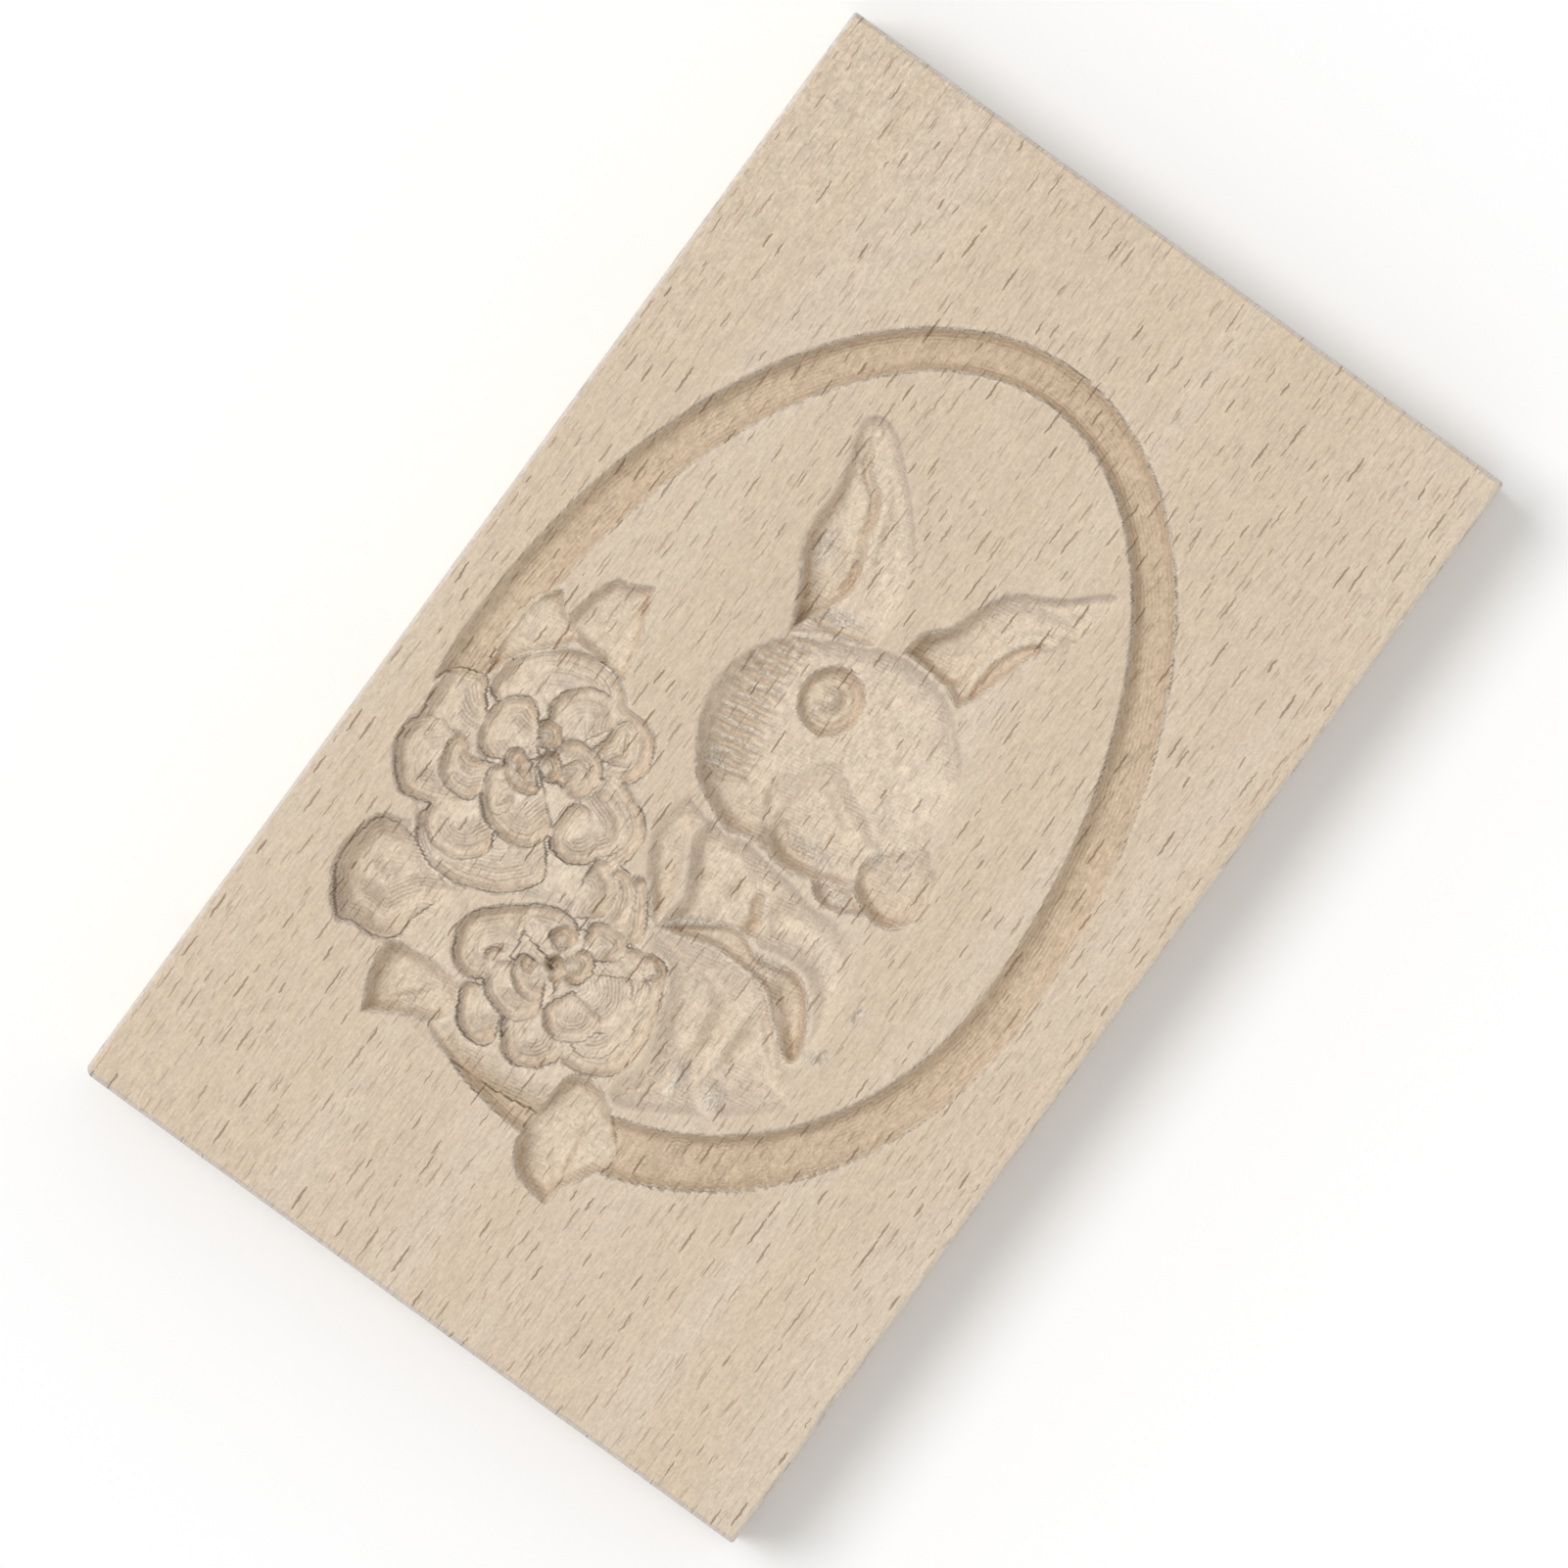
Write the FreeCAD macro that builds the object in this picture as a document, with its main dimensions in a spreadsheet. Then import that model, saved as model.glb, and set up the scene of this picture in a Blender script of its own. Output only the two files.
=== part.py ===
import FreeCAD, Part
import math
import os
import Sketcher

Vector = FreeCAD.Vector
Rotation = FreeCAD.Rotation

# A carved beech cookie mould, one solid: a flat board with a sunk egg-shaped border
# round a sitting rabbit between roses, all cut into its face. +X is the board's width,
# +Y its length with the rabbit's ears up, +Z out of the carved face. The board rests
# on Z = 0. All lengths are millimetres.

SIZES = [
    ("board_width", 90.0, "across the grain"),
    ("board_length", 147.0, "along the grain"),
    ("board_thickness", 15.0, "back to face"),
    ("edge_softening", 0.5, "width of the bevel sanded on the face and back edges"),
    ("corner_softening", 1.0, "sanded radius of the four upright corners"),
    ("carving_x", -1.3, "middle of the egg from the middle of the board"),
    ("carving_y", -7.0, "widest line of the egg from the middle of the board"),
    ("egg_half_width", 38.5, "outer edge of the border at its widest line"),
    ("egg_upper", 62.5, "widest line up to the outer edge"),
    ("egg_lower", 43.2, "widest line down to the outer edge"),
    ("border_side", 5.8, "width of the border at the sides"),
    ("border_top", 5.0, "width of the border at the top"),
    ("border_bottom", 6.8, "width of the border at the bottom"),
    ("border_depth", 2.4, "face to the floor of the border"),
    ("border_slope", 1.0, "run of the border's sloping walls"),
    ("cutter_proud", 1.0, "height of the stop cuts over the face"),
    ("petal_lean", 0.5, "run of a petal's wall for each millimetre of its height"),
    ("overrun", 6.0, "how far a stroke starts and ends outside its outline"),
    ("figure_depth", 6.0, "reach of the figure's outlines into the wood"),
    ("eye_radius", 4.3, "rim of the eye's pit"),
    ("eye_floor", 3.0, "radius of the flat floor of the eye's pit"),
    ("eye_depth", 4.6, "face to the floor of the eye's pit"),
    ("pupil_foot", 2.5, "radius of the low cone in the eye, at its foot"),
    ("pupil_top", 0.6, "radius of that cone's flat top"),
    ("pupil_height", 2.3, "foot to top of that cone"),
]

doc = FreeCAD.newDocument("cookie_mould")
sheet = doc.addObject("Spreadsheet::Sheet", "Sizes")
for row, (alias, value, note) in enumerate(SIZES, start=1):
    sheet.set("A%d" % row, alias)
    sheet.set("B%d" % row, str(value))
    sheet.set("C%d" % row, note)
    sheet.setAlias("B%d" % row, alias)
doc.recompute()


def size(alias):
    return sheet.get(alias)


def origin_plane(body, role):
    for feature in body.Origin.OriginFeatures:
        if feature.Role == role:
            return feature


# Board

body = doc.addObject("PartDesign::Body", "Board")


def sketch_on_face(name, height):
    sketch = body.newObject("Sketcher::SketchObject", name)
    sketch.AttachmentSupport = [(origin_plane(body, "XY_Plane"), "")]
    sketch.MapMode = "FlatFace"
    sketch.setExpression("AttachmentOffset.Base.z", height)
    return sketch


def blank_outline(name):
    sketch = sketch_on_face(name, "0")
    half_width = size("board_width") / 2
    half_length = size("board_length") / 2
    corners = [
        Vector(-half_width, -half_length, 0),
        Vector(half_width, -half_length, 0),
        Vector(half_width, half_length, 0),
        Vector(-half_width, half_length, 0),
    ]
    for side in range(4):
        sketch.addGeometry(Part.LineSegment(corners[side], corners[(side + 1) % 4]), False)
    for side in range(4):
        sketch.addConstraint(Sketcher.Constraint("Coincident", side, 2, (side + 1) % 4, 1))
    for side, kind in enumerate(["Horizontal", "Vertical", "Horizontal", "Vertical"]):
        sketch.addConstraint(Sketcher.Constraint(kind, side))
    sketch.addConstraint(Sketcher.Constraint("Symmetric", 0, 1, 2, 1, -1, 1))
    width = sketch.addConstraint(Sketcher.Constraint("Distance", 0, 2 * half_width))
    length = sketch.addConstraint(Sketcher.Constraint("Distance", 1, 2 * half_length))
    sketch.setExpression("Constraints[%d]" % width, "Sizes.board_width")
    sketch.setExpression("Constraints[%d]" % length, "Sizes.board_length")
    return sketch


blank = body.newObject("PartDesign::Pad", "Blank")
blank.Profile = blank_outline("BlankOutline")
blank.setExpression("Length", "Sizes.board_thickness")
doc.recompute()


def board_edges(feature, upright):
    names = []
    for number, edge in enumerate(feature.Shape.Edges, start=1):
        direction = edge.tangentAt(edge.FirstParameter)
        if (abs(direction.z) > 0.9) == upright:
            names.append("Edge%d" % number)
    return names


corners = body.newObject("PartDesign::Fillet", "SoftCorners")
corners.Base = (blank, board_edges(blank, True))
corners.setExpression("Radius", "Sizes.corner_softening")
doc.recompute()
edges = body.newObject("PartDesign::Chamfer", "SoftEdges")
edges.Base = (corners, board_edges(corners, False))
edges.setExpression("Size", "Sizes.edge_softening")
doc.recompute()


# Border: two egg-shaped lofts, the outer one cut away and the inner one put back

def egg_outline(name, half_width, upper, lower, height):
    """Two half ellipses that share their width, the taller one up the board."""
    sketch = sketch_on_face(name, height)
    sketch.setExpression("AttachmentOffset.Base.x", "Sizes.carving_x")
    sketch.setExpression("AttachmentOffset.Base.y", "Sizes.carving_y")
    middle = Vector(0, 0, 0)
    quarter = math.pi / 2
    wide = sketch.evalExpression(half_width)
    halves = []
    spans = []
    for way, reach in ((1, upper), (-1, lower)):
        tall = sketch.evalExpression(reach)
        line = len(sketch.Geometry) + 1
        if tall > wide:
            shape = Part.Ellipse(Vector(0, way * tall, 0), Vector(-way * wide, 0, 0), middle)
            halves.append(sketch.addGeometry(Part.ArcOfEllipse(shape, -quarter, quarter), False))
            spans += [(line, reach), (line + 1, half_width)]
        else:
            shape = Part.Ellipse(Vector(way * wide, 0, 0), Vector(0, way * tall, 0), middle)
            halves.append(sketch.addGeometry(Part.ArcOfEllipse(shape, 0, 2 * quarter), False))
            spans += [(line + 1, reach), (line, half_width)]
        sketch.exposeInternalGeometry(halves[-1])
        sketch.addConstraint(Sketcher.Constraint("Coincident", halves[-1], 3, -1, 1))
        sketch.addConstraint(Sketcher.Constraint("Vertical", spans[-2][0]))
        sketch.addConstraint(Sketcher.Constraint("PointOnObject", halves[-1], 1, -1))
    sketch.addConstraint(Sketcher.Constraint("Coincident", halves[0], 1, halves[1], 2))
    sketch.addConstraint(Sketcher.Constraint("Coincident", halves[0], 2, halves[1], 1))
    for line, expression in spans[:3]:
        edge = sketch.Geometry[line]
        span = edge.StartPoint.distanceToPoint(edge.EndPoint)
        index = sketch.addConstraint(Sketcher.Constraint("Distance", line, span))
        sketch.setExpression("Constraints[%d]" % index, "2 * (%s)" % expression)
    return sketch


FACE = "Sizes.board_thickness"
FLOOR = "Sizes.board_thickness - Sizes.border_depth"
recess = body.newObject("PartDesign::SubtractiveLoft", "BorderRecess")
recess.Profile = egg_outline(
    "RecessTop", "Sizes.egg_half_width", "Sizes.egg_upper", "Sizes.egg_lower", FACE)
recess.Sections = [egg_outline(
    "RecessFloor",
    "Sizes.egg_half_width - Sizes.border_slope",
    "Sizes.egg_upper - Sizes.border_slope",
    "Sizes.egg_lower - Sizes.border_slope",
    FLOOR)]
doc.recompute()
plateau = body.newObject("PartDesign::AdditiveLoft", "Plateau")
plateau.Profile = egg_outline(
    "PlateauTop",
    "Sizes.egg_half_width - Sizes.border_side",
    "Sizes.egg_upper - Sizes.border_top",
    "Sizes.egg_lower - Sizes.border_bottom",
    FACE)
plateau.Sections = [egg_outline(
    "PlateauFoot",
    "Sizes.egg_half_width - Sizes.border_side + Sizes.border_slope",
    "Sizes.egg_upper - Sizes.border_top + Sizes.border_slope",
    "Sizes.egg_lower - Sizes.border_bottom + Sizes.border_slope",
    FLOOR)]
doc.recompute()


def outline_geometry(start, steps):
    """Lines to (x, y) and arcs through (x, y) to (x, y), back to the start."""
    pieces = []
    here = Vector(start[0], start[1], 0)
    for step in steps:
        end = Vector(step[-2], step[-1], 0)
        if len(step) == 2:
            pieces.append(Part.LineSegment(here, end))
        else:
            pieces.append(Part.Arc(here, Vector(step[0], step[1], 0), end))
        here = end
    return pieces


# The flowers grow over the border, so it stops short of them
flower_ground = body.newObject("PartDesign::Pad", "FlowerGround")
ground_outline = sketch_on_face("FlowerGroundOutline", FLOOR)
ground_outline.setExpression("AttachmentOffset.Base.x", "Sizes.carving_x")
ground_outline.setExpression("AttachmentOffset.Base.y", "Sizes.carving_y")
GROUND = [
    (-25.7, -6.5), (-8.7, -23.0), (3.1, -33.0), (3.1, -38.4), (-0.9, -38.4),
    (-7.7, -39.6, -15.2, -38.6), (-18.2, -41.0), (-22.7, -45.0), (-39.7, -45.0), (-39.7, -8.0)]
ground_outline.addGeometry(outline_geometry(GROUND[-1], GROUND), False)
flower_ground.Profile = ground_outline
flower_ground.setExpression("Length", "Sizes.border_depth")
doc.recompute()


# Carving: every tool below is a solid, cut from the board in this order

cuts = []


def place_on_face(tool, x, y, rise, rotation):
    """Puts a tool at (x, y) from the carving's middle and a rise over the face."""
    tool.Placement = FreeCAD.Placement(Vector(0, 0, 0), rotation)
    tool.setExpression("Placement.Base.x", "Sizes.carving_x + %.4f" % x)
    tool.setExpression("Placement.Base.y", "Sizes.carving_y + %.4f" % y)
    tool.setExpression("Placement.Base.z", "Sizes.board_thickness + %.4f" % rise)
    return tool


def gouge(name, x, y, heading, length, start_depth, end_depth, sweep, overrun=0):
    """A straight gouge stroke: a cylinder whose lowest line starts at (x, y) and dives."""
    turn = math.radians(heading)
    dive = math.atan2(end_depth - start_depth, length)
    along = Vector(math.cos(turn) * math.cos(dive), math.sin(turn) * math.cos(dive), -math.sin(dive))
    up = Vector(math.cos(turn) * math.sin(dive), math.sin(turn) * math.sin(dive), math.cos(dive))
    tool = doc.addObject("Part::Cylinder", name)
    tool.Radius = sweep
    tool.Height = length / math.cos(dive) + 2 * overrun
    start = Vector(x, y, -start_depth) - along * overrun + up * sweep
    place_on_face(tool, start.x, start.y, start.z, Rotation(Vector(0, 0, 1), along))
    return tool


def stroke(name, *values):
    cuts.append(gouge(name, *values))


def petal(name, x, y, radius, heading, inner_depth, outer_depth):
    """A round cut with leaning walls, whose flat floor dips the way it heads."""
    turn = math.radians(heading)
    dip = math.atan2(outer_depth - inner_depth, 2 * radius)
    up = Vector(math.cos(turn) * math.sin(dip), math.sin(turn) * math.sin(dip), math.cos(dip))
    middle_depth = (inner_depth + outer_depth) / 2
    tool = doc.addObject("Part::Cone", name)
    tool.setExpression("Radius1", "%.4f - %.4f * Sizes.petal_lean" % (radius, middle_depth))
    tool.setExpression("Height", "Sizes.cutter_proud + %.4f" % (2 * outer_depth))
    tool.setExpression("Radius2", "Radius1 + Height * Sizes.petal_lean")
    place_on_face(tool, x, y, -middle_depth, Rotation(Vector(0, 0, 1), up))
    cuts.append(tool)


def outlined(name, outline, strokes):
    """Strokes of the gouge that end on an outline, which is set in straight down."""
    sketch = doc.addObject("Sketcher::SketchObject", name + "_outline")
    sketch.addGeometry(outline_geometry(outline[-1][-2:], outline), False)
    place_on_face(sketch, 0, 0, 0, Rotation())
    sketch.setExpression("Placement.Base.z", "Sizes.board_thickness + Sizes.cutter_proud")
    wall = doc.addObject("Part::Extrusion", name + "_wall")
    wall.Base = sketch
    wall.DirMode = "Custom"
    wall.Dir = Vector(0, 0, -1)
    wall.Solid = True
    wall.setExpression("LengthFwd", "Sizes.cutter_proud + Sizes.figure_depth")
    tools = []
    for number, values in enumerate(strokes, start=1):
        tools.append(gouge("%s_stroke_%d" % (name, number), *values, size("overrun")))
    hollow = tools[0]
    if len(tools) > 1:
        hollow = doc.addObject("Part::MultiFuse", name + "_hollow")
        hollow.Shapes = tools
    both = doc.addObject("Part::Common", name)
    both.Base = hollow
    both.Tool = wall
    cuts.append(both)


# Rabbit: ears, head, cheek, mouth, muzzle, chest and haunch

outlined("left_ear", [
    (-11.0, 24.6, -13.5, 28.8), (-14.1, 32.2, -14.0, 35.6), (-14.5, 39.0, -15.7, 42.4),
    (-15.7, 44.9, -14.1, 45.6), (-11.9, 45.4, -9.9, 43.8), (-3.7, 37.2), (-0.6, 33.2, 0.3, 28.5),
    (0.3, 24.6), (-4.3, 22.8, -8.3, 19.2)],
    [(-12.3, 46.0, -66, 26, 0.5, 1.2, 60.0)])
outlined("left_ear_hollow", [
    (-10.3, 24.9, -12.8, 29.1), (-13.4, 32.4, -13.3, 35.6), (-13.8, 39.0, -14.9, 42.4),
    (-14.8, 44.4, -13.6, 43.2), (-13.2, 40.6, -11.3, 39.2), (-9.1, 37.8, -8.4, 35.4),
    (-7.6, 32.2, -5.9, 29.8), (-5.7, 26.4, -7.9, 21.2)],
    [(-14.2, 45.0, -74, 25, 1.2, 3.2, 7.0)])
outlined("ear_tuft", [
    (-5.1, 21.6, -0.3, 23.8), (0.1, 25.0, -1.5, 25.6), (-5.3, 25.2, -8.1, 21.2)],
    [(-5.0, 26.6, -64, 5.0, 0.8, 3.4, 12.0)])

outlined("right_ear", [
    (3.3, 28.4, 5.5, 31.0), (6.5, 34.6, 9.5, 38.6), (13.9, 40.6, 17.7, 44.4),
    (19.5, 45.2, 19.5, 42.2), (18.7, 38.8, 16.5, 35.4), (14.5, 31.6, 13.5, 27.8),
    (12.9, 25.6, 11.5, 23.9), (7.5, 25.8, 2.9, 25.4)],
    [(18.6, 45.0, 243, 24, 0.6, 2.0, 12.0)])
outlined("right_ear_hollow", [
    (4.9, 29.2, 6.9, 31.6), (8.1, 34.8, 11.3, 37.6), (14.3, 39.0, 17.1, 38.0),
    (14.1, 36.4, 12.5, 33.8), (11.1, 30.4, 10.6, 26.2), (8.7, 25.8, 3.9, 26.2)],
    [(16.9, 39.0, 232, 17, 1.0, 4.0, 6.5)])

outlined("head", [
    (-3.3, 23.3, 3.3, 25.2), (7.9, 25.2, 11.5, 23.6), (14.9, 20.9, 17.3, 17.4), (17.4, 12.0),
    (18.1, 9.4, 19.9, 7.7), (21.2, 3.2, 19.3, 0.0), (16.1, -0.6), (13.3, -1.8, 10.1, -1.2),
    (5.9, -2.2, 1.7, -1.0), (-3.5, -2.3, -8.1, 1.4), (-10.9, 4.0, -11.7, 8.0),
    (-12.1, 12.0, -11.3, 15.0), (-10.3, 17.8, -8.7, 19.5)],
    [(-0.7, 26.4, -72, 30, 0.9, 2.2, 160.0)])
outlined("cheek", [
    (1.5, -1.2), (-3.5, -2.3, -8.1, 1.4), (-10.9, 4.0, -11.7, 8.0), (-12.1, 11.0, -11.7, 14.0),
    (-4.7, 16.0, 1.5, 14.0)],
    [(-5.2, 15.0, -74, 18, 1.0, 4.0, 13.0)])
outlined("mouth", [
    (5.9, -2.2, 1.5, -1.0), (1.5, 11.0), (8.3, 11.4, 12.9, 6.8), (13.9, 3.0, 13.3, -1.0)],
    [(10.9, 11.2, -134, 17, 0.8, 5.0, 8.0)])
petal("muzzle", 17.5, 3.4, 4.7, 205, 1.8, 3.6)
outlined("lower_lip", [(13.1, 0.8, 16.3, -0.8), (13.5, -3.6, 10.1, -1.2)],
    [(16.7, -0.6, 188, 7.0, 2.0, 3.0, 5.0)])

# The fur of the cheek: short strokes in a row down its edge
FUR = [
    (-10.6, 17.0, 24), (-12.6, 14.6, 21), (-13.8, 12.2, 18), (-13.8, 9.8, 16),
    (-12.8, 7.4, 13), (-11.0, 5.0, 10)]
for number, (x, y, heading) in enumerate(FUR, start=1):
    stroke("fur_%d" % number, x, y, heading, 7.0, 0.3, 2.6, 1.3)

# Eye: a round pit with a low cone left standing in it
eye_pit = doc.addObject("Part::Cone", "eye_pit")
eye_pit.setExpression("Radius1", "Sizes.eye_floor")
eye_pit.setExpression("Radius2", "Sizes.eye_radius")
eye_pit.setExpression("Height", "Sizes.eye_depth + Sizes.cutter_proud")
place_on_face(eye_pit, -0.2, 16.3, -size("eye_depth"), Rotation())
eye_peak = doc.addObject("Part::Cone", "eye_peak")
eye_peak.setExpression("Radius1", "Sizes.pupil_foot")
eye_peak.setExpression("Radius2", "Sizes.pupil_top")
eye_peak.setExpression("Height", "Sizes.pupil_height")
place_on_face(eye_peak, -0.3, 16.1, -size("eye_depth"), Rotation())
eye = doc.addObject("Part::Cut", "eye")
eye.Base = eye_pit
eye.Tool = eye_peak
cuts.append(eye)

outlined("chest_left", [
    (-7.3, -1.4), (-1.7, -2.0), (0.7, -8.6, 0.3, -14.8), (-5.7, -12.4)],
    [(-4.1, 0.0, 256, 16, 0.6, 1.4, 12.0)])
outlined("chest_middle", [
    (1.7, -2.2), (6.7, -2.6), (6.1, -6.0), (7.7, -8.6, 6.9, -11.6), (2.7, -13.4, -1.5, -15.6),
    (-0.9, -9.0, -3.7, -5.0)],
    [(3.5, -1.0, 262, 16, 0.8, 2.4, 14.0)])
outlined("chest_right", [
    (9.9, -2.6), (15.3, -2.8), (19.7, -5.6, 19.9, -11.4), (17.7, -11.6, 15.3, -11.0),
    (11.3, -10.8, 7.3, -11.4), (8.1, -8.6, 6.3, -5.6)],
    [(11.7, -1.0, -70, 13, 0.5, 2.0, 16.0)])

outlined("foreleg", [
    (2.9, -13.4, 7.3, -11.5), (11.3, -10.6, 15.8, -11.2), (19.5, -13.6, 20.7, -18.8),
    (18.9, -19.4), (16.5, -15.6, 12.5, -13.8), (7.3, -13.8, -0.5, -18.4)],
    [(9.1, -10.4, -86, 9.0, 1.8, 5.0, 26.0)])
outlined("haunch", [
    (2.7, -14.6, 7.3, -13.4), (12.5, -13.4), (15.5, -15.2, 19.3, -18.7), (21.9, -21.0, 21.3, -25.6),
    (15.1, -31.6, 6.9, -34.4), (5.7, -33.0), (6.9, -28.4, 4.7, -24.0), (3.9, -20.0, -0.5, -18.2)],
    [(5.9, -13.0, -82, 23, 1.6, 3.4, 8.0),
     (13.9, -13.0, -66, 21, 1.2, 3.0, 8.5)])
outlined("toes", [
    (8.5, -28.6, 9.9, -25.6), (11.7, -26.0), (13.9, -24.6, 15.9, -26.0), (17.1, -28.6, 13.5, -31.2),
    (10.3, -33.4, 7.5, -34.0)],
    [(9.7, -24.6, 262, 10, 2.2, 3.8, 2.2),
     (13.7, -24.0, 252, 9, 1.8, 3.8, 2.6)])

# Leaves: a pointed leaf is two strokes that meet in its rib, within a set-in outline
outlined("leaf_upper", [
    (-28.3, 13.8, -23.7, 15.5), (-21.6, 11.0, -20.5, 5.6), (-29.9, 6.0)],
    [(-26.1, 15.4, 262, 11, 0.8, 2.2, 4.0),
     (-23.1, 16.0, 280, 11, 0.8, 2.6, 3.2)])
outlined("leaf_left", [
    (-34.9, 2.0, -34.1, 6.8), (-32.2, 9.0), (-30.3, 6.6, -27.5, 5.4), (-30.7, -1.0), (-34.3, -3.8)],
    [(-32.4, 9.0, 268, 12, 1.8, 2.8, 14.0)])
outlined("leaf_broad", [
    (-35.1, -26.6, -34.7, -31.6), (-33.5, -34.6, -31.0, -36.4), (-28.7, -35.4, -25.9, -36.1),
    (-24.3, -35.4, -23.1, -33.8), (-21.3, -28.0), (-26.7, -22.6, -32.3, -23.0)],
    [(-32.6, -23.0, 268, 13.5, 1.4, 3.0, 6.5),
     (-26.9, -23.0, 262, 13.5, 1.0, 3.4, 5.4)])
outlined("leaf_lower", [
    (-25.5, -38.0, -22.5, -42.8), (-21.3, -41.4), (-18.7, -41.4, -14.3, -36.4),
    (-17.1, -32.6, -24.3, -34.4)],
    [(-23.3, -42.4, 84, 9, 1.2, 3.0, 3.6),
     (-21.1, -41.8, 52, 9, 1.2, 2.8, 3.4)])
outlined("leaf_bottom", [
    (-0.5, -42.6, 1.3, -46.4), (3.5, -48.4, 6.7, -48.2), (7.5, -46.0), (10.9, -43.4, 10.1, -39.4),
    (8.5, -36.8), (5.9, -34.4), (0.7, -36.6, -0.1, -42.6)],
    [(5.3, -48.2, 99, 13, 2.4, 3.8, 5.2),
     (8.1, -46.8, 88, 12, 2.2, 3.6, 4.2)])

# Upper rose: outer petals with ruffled rims, then round ones in to the bud
outlined("upper_rose_top", [
    (-33.3, -2.8, -30.5, 0.4), (-30.0, 3.1, -27.0, 3.4), (-24.2, 5.4, -21.0, 4.1),
    (-18.3, 4.1, -17.9, 1.4), (-19.7, -7.0), (-26.7, -11.0), (-32.1, -7.0)],
    [(-22.4, -7.4, 118, 12.0, 0.8, 2.2, 60.0)])
outlined("upper_rose_tail", [
    (-31.3, -21.2, -29.0, -23.6), (-25.9, -26.2, -22.5, -24.9), (-19.1, -25.4, -16.9, -22.9),
    (-14.1, -21.4, -14.3, -18.0), (-18.7, -11.0), (-27.7, -11.4), (-30.7, -16.6)],
    [(-23.1, -12.0, 275, 12.0, 0.8, 2.2, 60.0)])
outlined("upper_rose_side", [
    (-34.5, -3.4, -37.0, -5.8), (-38.6, -9.0, -37.3, -12.6), (-31.7, -13.0), (-31.3, -4.6)],
    [(-32.3, -8.4, 188, 5.5, 1.0, 2.7, 12.0)])
outlined("upper_rose_low", [
    (-36.7, -10.6, -37.4, -13.2), (-38.1, -16.4, -36.2, -18.9), (-34.1, -21.8, -31.1, -20.7),
    (-28.9, -21.0, -27.1, -19.0), (-26.7, -12.0), (-33.5, -10.0)],
    [(-30.2, -12.5, 222, 9.0, 1.0, 2.8, 16.0)])
outlined("upper_rose_right", [
    (-14.5, -4.7, -11.7, -5.6), (-9.4, -6.6, -8.6, -9.3), (-7.4, -11.8, -9.3, -14.2),
    (-11.7, -16.8, -14.7, -15.9), (-17.5, -15.8, -17.9, -13.4), (-18.3, -9.0), (-16.3, -6.4)],
    [(-16.9, -10.9, 5, 8.5, 0.9, 2.2, 18.0)])
outlined("upper_rose_corner", [
    (-17.7, 2.6, -15.2, 1.7), (-12.7, 0.1, -12.4, -2.8), (-12.7, -5.4, -14.9, -6.6),
    (-19.3, -4.6), (-19.7, 0.8)],
    [(-18.9, -4.4, 48, 7.5, 0.9, 2.3, 14.0)])
for name, *values in [
        ("crown", -21.2, -2.5, 4.4, 85, 1.4, 2.7),
        ("left", -26.9, -7.4, 4.3, 150, 1.6, 3.0),
        ("lower_left", -29.1, -13.5, 3.9, 235, 1.6, 3.2),
        ("inner_right", -19.2, -7.2, 3.6, 42, 1.9, 3.2),
        ("inner_low", -22.3, -13.8, 4.3, 258, 1.8, 3.3),
        ("bud", -23.5, -9.5, 3.0, 215, 2.6, 3.9)]:
    petal("upper_rose_" + name, *values)

# Half-open bud between the roses
for number, (x, y) in enumerate([(-11.3, -14.6), (-8.9, -13.6), (-6.5, -12.8)], start=1):
    stroke("bud_strip_%d" % number, x, y, -48, 6.4, 0.8, 2.2, 1.7)

# Lower rose, cut the same way
outlined("lower_rose_right", [
    (3.1, -20.6, 4.8, -23.6), (6.7, -26.2, 5.6, -29.2), (5.1, -32.8, 1.9, -33.7),
    (-0.3, -35.6, -3.1, -34.3), (-6.9, -29.0), (-5.7, -23.0), (-0.7, -20.1)],
    [(-5.4, -26.0, 345, 10.5, 0.8, 2.4, 60.0)])
outlined("lower_rose_top", [
    (-15.3, -21.9, -12.7, -21.0), (-10.3, -19.8, -7.9, -21.4), (-7.7, -25.2),
    (-11.7, -27.2), (-15.1, -24.7)],
    [(-10.4, -25.3, 122, 5.6, 1.0, 2.0, 12.0)])
outlined("lower_rose_foot_left", [
    (-15.7, -35.4, -13.5, -37.4), (-10.9, -39.3, -8.3, -37.7), (-7.7, -32.0),
    (-11.9, -30.0), (-15.0, -32.4)],
    [(-10.7, -31.6, 248, 6.8, 1.0, 2.5, 12.0)])
outlined("lower_rose_foot", [
    (-8.3, -37.3, -5.5, -37.5), (-2.3, -38.2, -1.2, -35.4), (-1.8, -31.8),
    (-7.9, -30.8), (-9.0, -34.3)],
    [(-5.3, -31.8, 268, 6.0, 1.2, 2.4, 12.0)])
outlined("lower_rose_left", [
    (-16.3, -22.8, -18.4, -24.3), (-20.2, -26.5, -19.7, -29.4), (-19.4, -32.5, -16.5, -33.2),
    (-11.7, -31.8), (-10.9, -26.0), (-14.0, -23.6)],
    [(-12.9, -27.7, 192, 6.8, 1.0, 2.7, 13.0)])
for name, *values in [
        ("crown", -4.3, -21.6, 3.2, 75, 1.3, 2.7),
        ("inner_right", -1.9, -28.9, 4.2, 290, 1.7, 3.0),
        ("inner_left", -9.8, -29.3, 4.8, 240, 1.9, 3.3),
        ("heart", -8.2, -26.9, 3.2, 220, 2.7, 3.8)]:
    petal("lower_rose_" + name, *values)
stroke("heart_pit", -8.1, -24.9, 270, 2.2, 3.4, 4.6, 1.0)

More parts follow.
